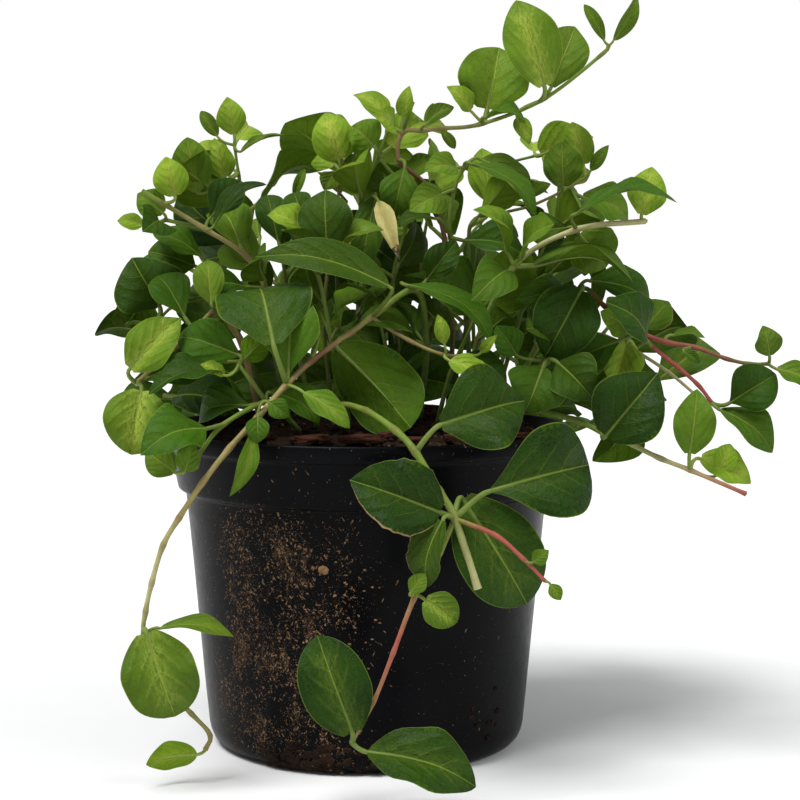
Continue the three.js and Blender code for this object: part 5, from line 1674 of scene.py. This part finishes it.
class PERIWINKLE_OT_stage(bpy.types.Operator):
    """Make the pale floor, the soft lights and the camera"""

    bl_idname = "periwinkle.stage"
    bl_label = "Stage"

    def execute(self, context):
        settings = context.scene.periwinkle_stage
        self.floor(settings)
        self.sky(context, settings)
        self.sun("key_light", KEY_FROM, settings.key_strength, KEY_SPREAD)
        self.sun("side_light", SIDE_FROM, settings.key_strength * SIDE_SHARE, SIDE_SPREAD)
        self.camera(context)
        context.scene.view_settings.view_transform = "Standard"
        return {"FINISHED"}

    def floor(self, settings):
        build = Build()
        far = FLOOR_REACH
        build.add([(-far, -far, 0), (far, -far, 0), (far, far, 0), (-far, far, 0)], [(0, 1, 2, 3)])
        material, nodes, skin = new_material("pale_floor", 0.9, Specular_IOR_Level=0.1)
        grain = nodes.noise(nodes.place(), 30.0)
        pale = tuple(settings.floor_color)
        nodes.put(skin["Base Color"], nodes.mix(grain, pale, shaded(pale, 0.97)))
        build.finish("floor", [material], smooth=False)

    def sky(self, context, settings):
        """A dim even light from all round, behind which the camera sees plain white."""
        world = bpy.data.worlds.new("pale_sky")
        world.use_nodes = True
        context.scene.world = world
        nodes = Nodes(world.node_tree)
        light = world.node_tree.nodes["Background"]
        light.inputs["Color"].default_value = (0.97, 0.985, 1.0, 1.0)
        light.inputs["Strength"].default_value = settings.sky_strength
        seen = nodes.add("ShaderNodeBackground", {"Color": (1.0, 1.0, 1.0, 1.0), "Strength": 1.0})
        ray = nodes.add("ShaderNodeLightPath").outputs["Is Camera Ray"]
        both = nodes.add("ShaderNodeMixShader", {0: ray, 1: light.outputs[0], 2: seen.outputs[0]})
        nodes.put(world.node_tree.nodes["World Output"].inputs["Surface"], both.outputs[0])

    def sun(self, name, source, strength, spread):
        """A soft light from far off, from where the source lies as seen from the middle."""
        data = bpy.data.lights.new(name, "SUN")
        data.energy = strength
        data.angle = math.radians(spread)
        sun = bpy.data.objects.new(name, data)
        sun.rotation_euler = Vector(source).to_track_quat("Z", "Y").to_euler()
        bpy.context.scene.collection.objects.link(sun)

    def camera(self, context):
        data = bpy.data.cameras.new("camera")
        data.angle = math.radians(CAMERA_SPREAD)
        camera = bpy.data.objects.new("camera", data)
        turn = Matrix.Rotation(math.radians(CAMERA_TURN), 4, "Z")
        tilt = Matrix.Rotation(math.radians(CAMERA_TILT), 4, "X")
        roll = Matrix.Rotation(math.radians(CAMERA_ROLL), 4, "Z")
        camera.matrix_world = Matrix.Translation(CAMERA_PLACE) @ (turn @ tilt) @ roll
        context.scene.collection.objects.link(camera)
        context.scene.camera = camera


class PERIWINKLE_OT_pot(bpy.types.Operator):
    """Turn the pot, with its lip, collar and drain holes"""

    bl_idname = "periwinkle.pot"
    bl_label = "Pot"

    def execute(self, context):
        settings = context.scene.periwinkle_pot

        def shift(radius, z, turn):
            """The wall is slightly out of round, more so higher up."""
            oval = 0.28 * math.sin(2 * turn + 0.6) + 0.16 * math.sin(5 * turn)
            dent = noise.noise(Vector((math.cos(turn) * 1.6, math.sin(turn) * 1.6, z * 0.018)))
            height = min(1.0, z / 40)
            return radius + (oval + 0.45 * dent) * height, 0.0

        build = Build()
        build.add(*lathe(POT_PROFILE, POT_SEGMENTS, shift))
        pot = build.finish("pot_body", [material_of("satin_plastic", pot_material, settings)])
        self.drill(pot)
        settled(pot, "pot_plastic", "pot")
        return {"FINISHED"}

    def drill(self, pot):
        """Cut the drain holes through the floor."""
        cutters = Build()
        heights = (-4.0, 0.0, 4.0, 8.0)
        for i in range(DRAIN_HOLES):
            turn = i / DRAIN_HOLES * 2 * math.pi
            x, y = DRAIN_CIRCLE * math.cos(turn), DRAIN_CIRCLE * math.sin(turn)
            path = np.array([(x, y, z) for z in heights])
            vertices, faces, _ = tube(path, [DRAIN_RADIUS] * len(heights), 24)
            cutters.add(vertices, faces)
        cutter = cutters.finish("drain_cutter", [])
        cut = pot.modifiers.new("drain", "BOOLEAN")
        cut.object = cutter
        cut.solver = "EXACT"
        whole = pot.evaluated_get(bpy.context.evaluated_depsgraph_get())
        mesh = bpy.data.meshes.new_from_object(whole)
        pot.modifiers.clear()
        pot.data = mesh
        bpy.data.objects.remove(cutter)


class PERIWINKLE_OT_soil(bpy.types.Operator):
    """Fill the pot with lumpy potting mix, crumbs and bark chips"""

    bl_idname = "periwinkle.soil"
    bl_label = "Soil and Bark"

    def execute(self, context):
        settings = context.scene.periwinkle_soil
        mix = material_of("damp_mix", soil_material, settings)
        bark = material_of("bark_skin", bark_material, settings)
        self.bed(settings, mix)
        self.crumbs(settings, mix, bark)
        self.clods(mix, material_of("coir_fibre", fibre_material, settings))
        self.chips(bark)
        return {"FINISHED"}

    def bed(self, settings, mix):
        """The mix itself, lumpy on top."""
        height = settings.roughness / MM
        radii = [*np.linspace(89.6, 60, 14), *np.linspace(57, 3, 18)]
        profile = [(0, 120.0), (84.0, 120.0), (86.5, 127.0), (88.6, 137.0)]
        profile += [(r, soil_top(r)) for r in radii] + [(0, soil_top(0))]

        def shift(radius, z, turn):
            if z < 139:
                return radius, 0.0
            spot = Vector((radius * math.cos(turn), radius * math.sin(turn), 0.0))
            lumps = noise.fractal(spot * 0.11, 1.0, 2.2, 4) + 0.6 * noise.noise(spot * 0.5)
            return radius, height * lumps

        build = Build()
        build.add(*lathe(profile, SOIL_SEGMENTS, shift))
        settled(build.finish("soil_bed", [mix]), "potting_mix", "soil")

    def crumbs(self, settings, mix, bark):
        """Loose crumbs scattered over the soil."""
        rng = random.Random(5)
        build = Build()
        for _ in range(settings.crumbs):
            radius = 90 * math.sqrt(rng.uniform(0.15, 0.97))
            turn = rng.uniform(0, 2 * math.pi)
            long = rng.uniform(1.6, 5.5)
            size = (long, long * rng.uniform(0.3, 0.8), long * rng.uniform(0.25, 0.6))
            points, faces = lump(rng, size)
            points = turned(points, rng, 0.7)
            z = soil_top(radius) + rng.uniform(0.2, 1.6)
            points = points + np.array([radius * math.cos(turn), radius * math.sin(turn), z])
            build.add(points, faces, kind=int(rng.random() < 0.35))
        settled(build.finish("soil_crumbs", [mix, bark]), "potting_mix")

    def clods(self, mix, fibre):
        """Lumps of mix stuck to the outside of the wall and round the foot."""
        rng = random.Random(11)
        build = Build()
        spots = list(CLODS)
        for _ in range(150):
            spots.append((rng.gauss(-24, 10), 2 + abs(rng.gauss(0, 5)), rng.uniform(1.6, 5.6)))
        for _ in range(9):
            spots.append((rng.uniform(46, 62), rng.uniform(12, 28), rng.uniform(1.6, 3.4)))
        for _ in range(150):
            spots.append((rng.uniform(-60, 6), rng.uniform(8, 105), rng.uniform(0.7, 1.5)))
        for x, z, size in spots:
            over = z - FOOT_HEIGHT
            wall = FOOT_RADIUS + (over * WALL_SLOPE if over > 0 else -over ** 2 * 0.1)
            y = -math.sqrt(max(1.0, wall * wall - x * x))
            thick = min(0.7, 2.2 / size) if size > 2.5 else 0.6
            points, faces = lump(rng, (size, size * thick, size * rng.uniform(0.5, 0.9)), 0.4)
            face_on = np.array(Matrix.Rotation(math.atan2(y, x) + math.pi / 2, 3, "Z"))
            points = points @ face_on.T + np.array([x, y, max(z, size * 0.6)])
            build.add(points, faces, kind=int(size < 1.5 and rng.random() < 0.6))
        points, faces = lump(rng, PALE_LUMP, 0.3, 2)
        build.add(points + np.array(PALE_LUMP_PLACE), faces, kind=1)
        settled(build.finish("wall_clods", [mix, fibre]), "potting_mix")

    def chips(self, bark):
        """The bark chips, slightly bent, each lying where the frame's is."""
        rng = random.Random(8)
        for i, ((x, y), length, width, thickness, turn) in enumerate(CHIPS):
            points, faces = lump(rng, (length * 1.1, width * 1.25, thickness), 0.15, 4, 0.6)
            points[:, 2] += 0.35 * np.sin(points[:, 0] * 0.35 + i) * (thickness / 4)
            flat = np.array(Matrix.Rotation(math.radians(turn), 3, "Z"))
            radius = math.hypot(x, y)
            z = soil_top(max(0, radius - length / 2)) + thickness / 2 + GAP
            build = Build()
            build.add(points @ flat.T + np.array([x, y, z]), faces)
            settled(build.finish(f"bark_piece_{i + 1}", [bark]), "bark", f"bark_chip_{i + 1}")


class PERIWINKLE_OT_shoots(bpy.types.Operator):
    """Grow every shoot: its stems, stalks and blades"""

    bl_idname = "periwinkle.shoots"
    bl_label = "Shoots"

    def execute(self, context):
        settings = context.scene.periwinkle_leaves
        top = material_of("leaf_upper", leaf_material, settings, False)
        under = material_of("leaf_under", leaf_material, settings, True)
        skin = material_of("stem_skin", stem_material)
        for name, shoot in grow_shoots().items():
            self.shoot(name, shoot, top, under, skin)
        return {"FINISHED"}

    def shoot(self, name, shoot, top, under, skin):
        """One shoot as two pieces: its stems with the leaf stalks, and its blades."""
        rng = random.Random(name)
        stems, blades = Build(), Build()
        paths = []
        for order, (radius, points) in enumerate(shoot["stems"]):
            points = list(points)
            if paths:
                points[0] = nearest_spot(paths, points[0])
            path = spaced_points(points, max(6, round(curve_lengths(points)[-1] / STEM_STEP)))
            paths.append(path)
            add_stem(stems, name, order, radius, path, points[1:])
        for leaf in shoot["leaves"]:
            look = blade_look(leaf, rng)
            add_blade(blades, leaf, look)
            add_stalk(stems, leaf, look, nearest_spot(paths, leaf["node"]))
        plain = name.removeprefix("shoot_")
        settled(stems.finish(f"stems_{plain}", [skin]), "stem", name)
        if shoot["leaves"]:
            settled(blades.finish(f"leaves_{plain}", [top, under]), "leaf", name)


class PERIWINKLE_OT_dead_leaf(bpy.types.Operator):
    """Hang the withered leaf among the green ones"""

    bl_idname = "periwinkle.dead_leaf"
    bl_label = "Dead Leaf"

    def execute(self, context):
        leaf = listed_leaf(*DEAD_LEAF, DEAD_LOOK)
        look = blade_look(leaf, random.Random(2))
        build, stalk = Build(), Build()
        add_blade(build, leaf, look)
        skin = material_of("withered_skin", dead_leaf_material)
        settled(build.finish("dead_leaf_blade", [skin, skin]), "dead_leaf", "dead_leaf")
        add_stalk(stalk, leaf, look, leaf["base"] + np.array(DEAD_STALK_REACH))
        stem = material_of("stem_skin", stem_material)
        settled(stalk.finish("dead_leaf_stalk", [stem]), "dead_leaf")
        return {"FINISHED"}


class PERIWINKLE_PT_panel(bpy.types.Panel):
    """Buttons and settings for each piece of the plant"""

    bl_idname = "PERIWINKLE_PT_panel"
    bl_label = "Potted Periwinkle"
    bl_space_type = "VIEW_3D"
    bl_region_type = "UI"
    bl_category = "Periwinkle"

    def draw(self, context):
        for operator, settings in STEPS:
            box = self.layout.box()
            box.operator(operator.bl_idname)
            group = getattr(context.scene, settings) if settings else None
            for name in group.__annotations__ if group else ():
                box.prop(group, name)


STEPS = [
    (PERIWINKLE_OT_stage, "periwinkle_stage"),
    (PERIWINKLE_OT_pot, "periwinkle_pot"),
    (PERIWINKLE_OT_soil, "periwinkle_soil"),
    (PERIWINKLE_OT_shoots, "periwinkle_leaves"),
    (PERIWINKLE_OT_dead_leaf, None),
]
SETTINGS = {
    "periwinkle_stage": PERIWINKLE_PG_stage,
    "periwinkle_pot": PERIWINKLE_PG_pot,
    "periwinkle_soil": PERIWINKLE_PG_soil,
    "periwinkle_leaves": PERIWINKLE_PG_leaves,
}
CLASSES = [*SETTINGS.values(), *(operator for operator, _ in STEPS), PERIWINKLE_PT_panel]


def register():
    """Add the settings, the operators and the panel."""
    for made in CLASSES:
        bpy.utils.register_class(made)
    for name, group in SETTINGS.items():
        setattr(bpy.types.Scene, name, bpy.props.PointerProperty(type=group))


def unregister():
    """Take them away again."""
    for name in SETTINGS:
        delattr(bpy.types.Scene, name)
    for made in reversed(CLASSES):
        bpy.utils.unregister_class(made)


def main():
    """Build every piece in turn."""
    register()
    mottle_group()
    speckle_group()
    blade_group()
    for operator, _ in STEPS:
        area, name = operator.bl_idname.split(".")
        getattr(getattr(bpy.ops, area), name)()
    bpy.context.view_layer.update()


if __name__ == "__main__":
    main()
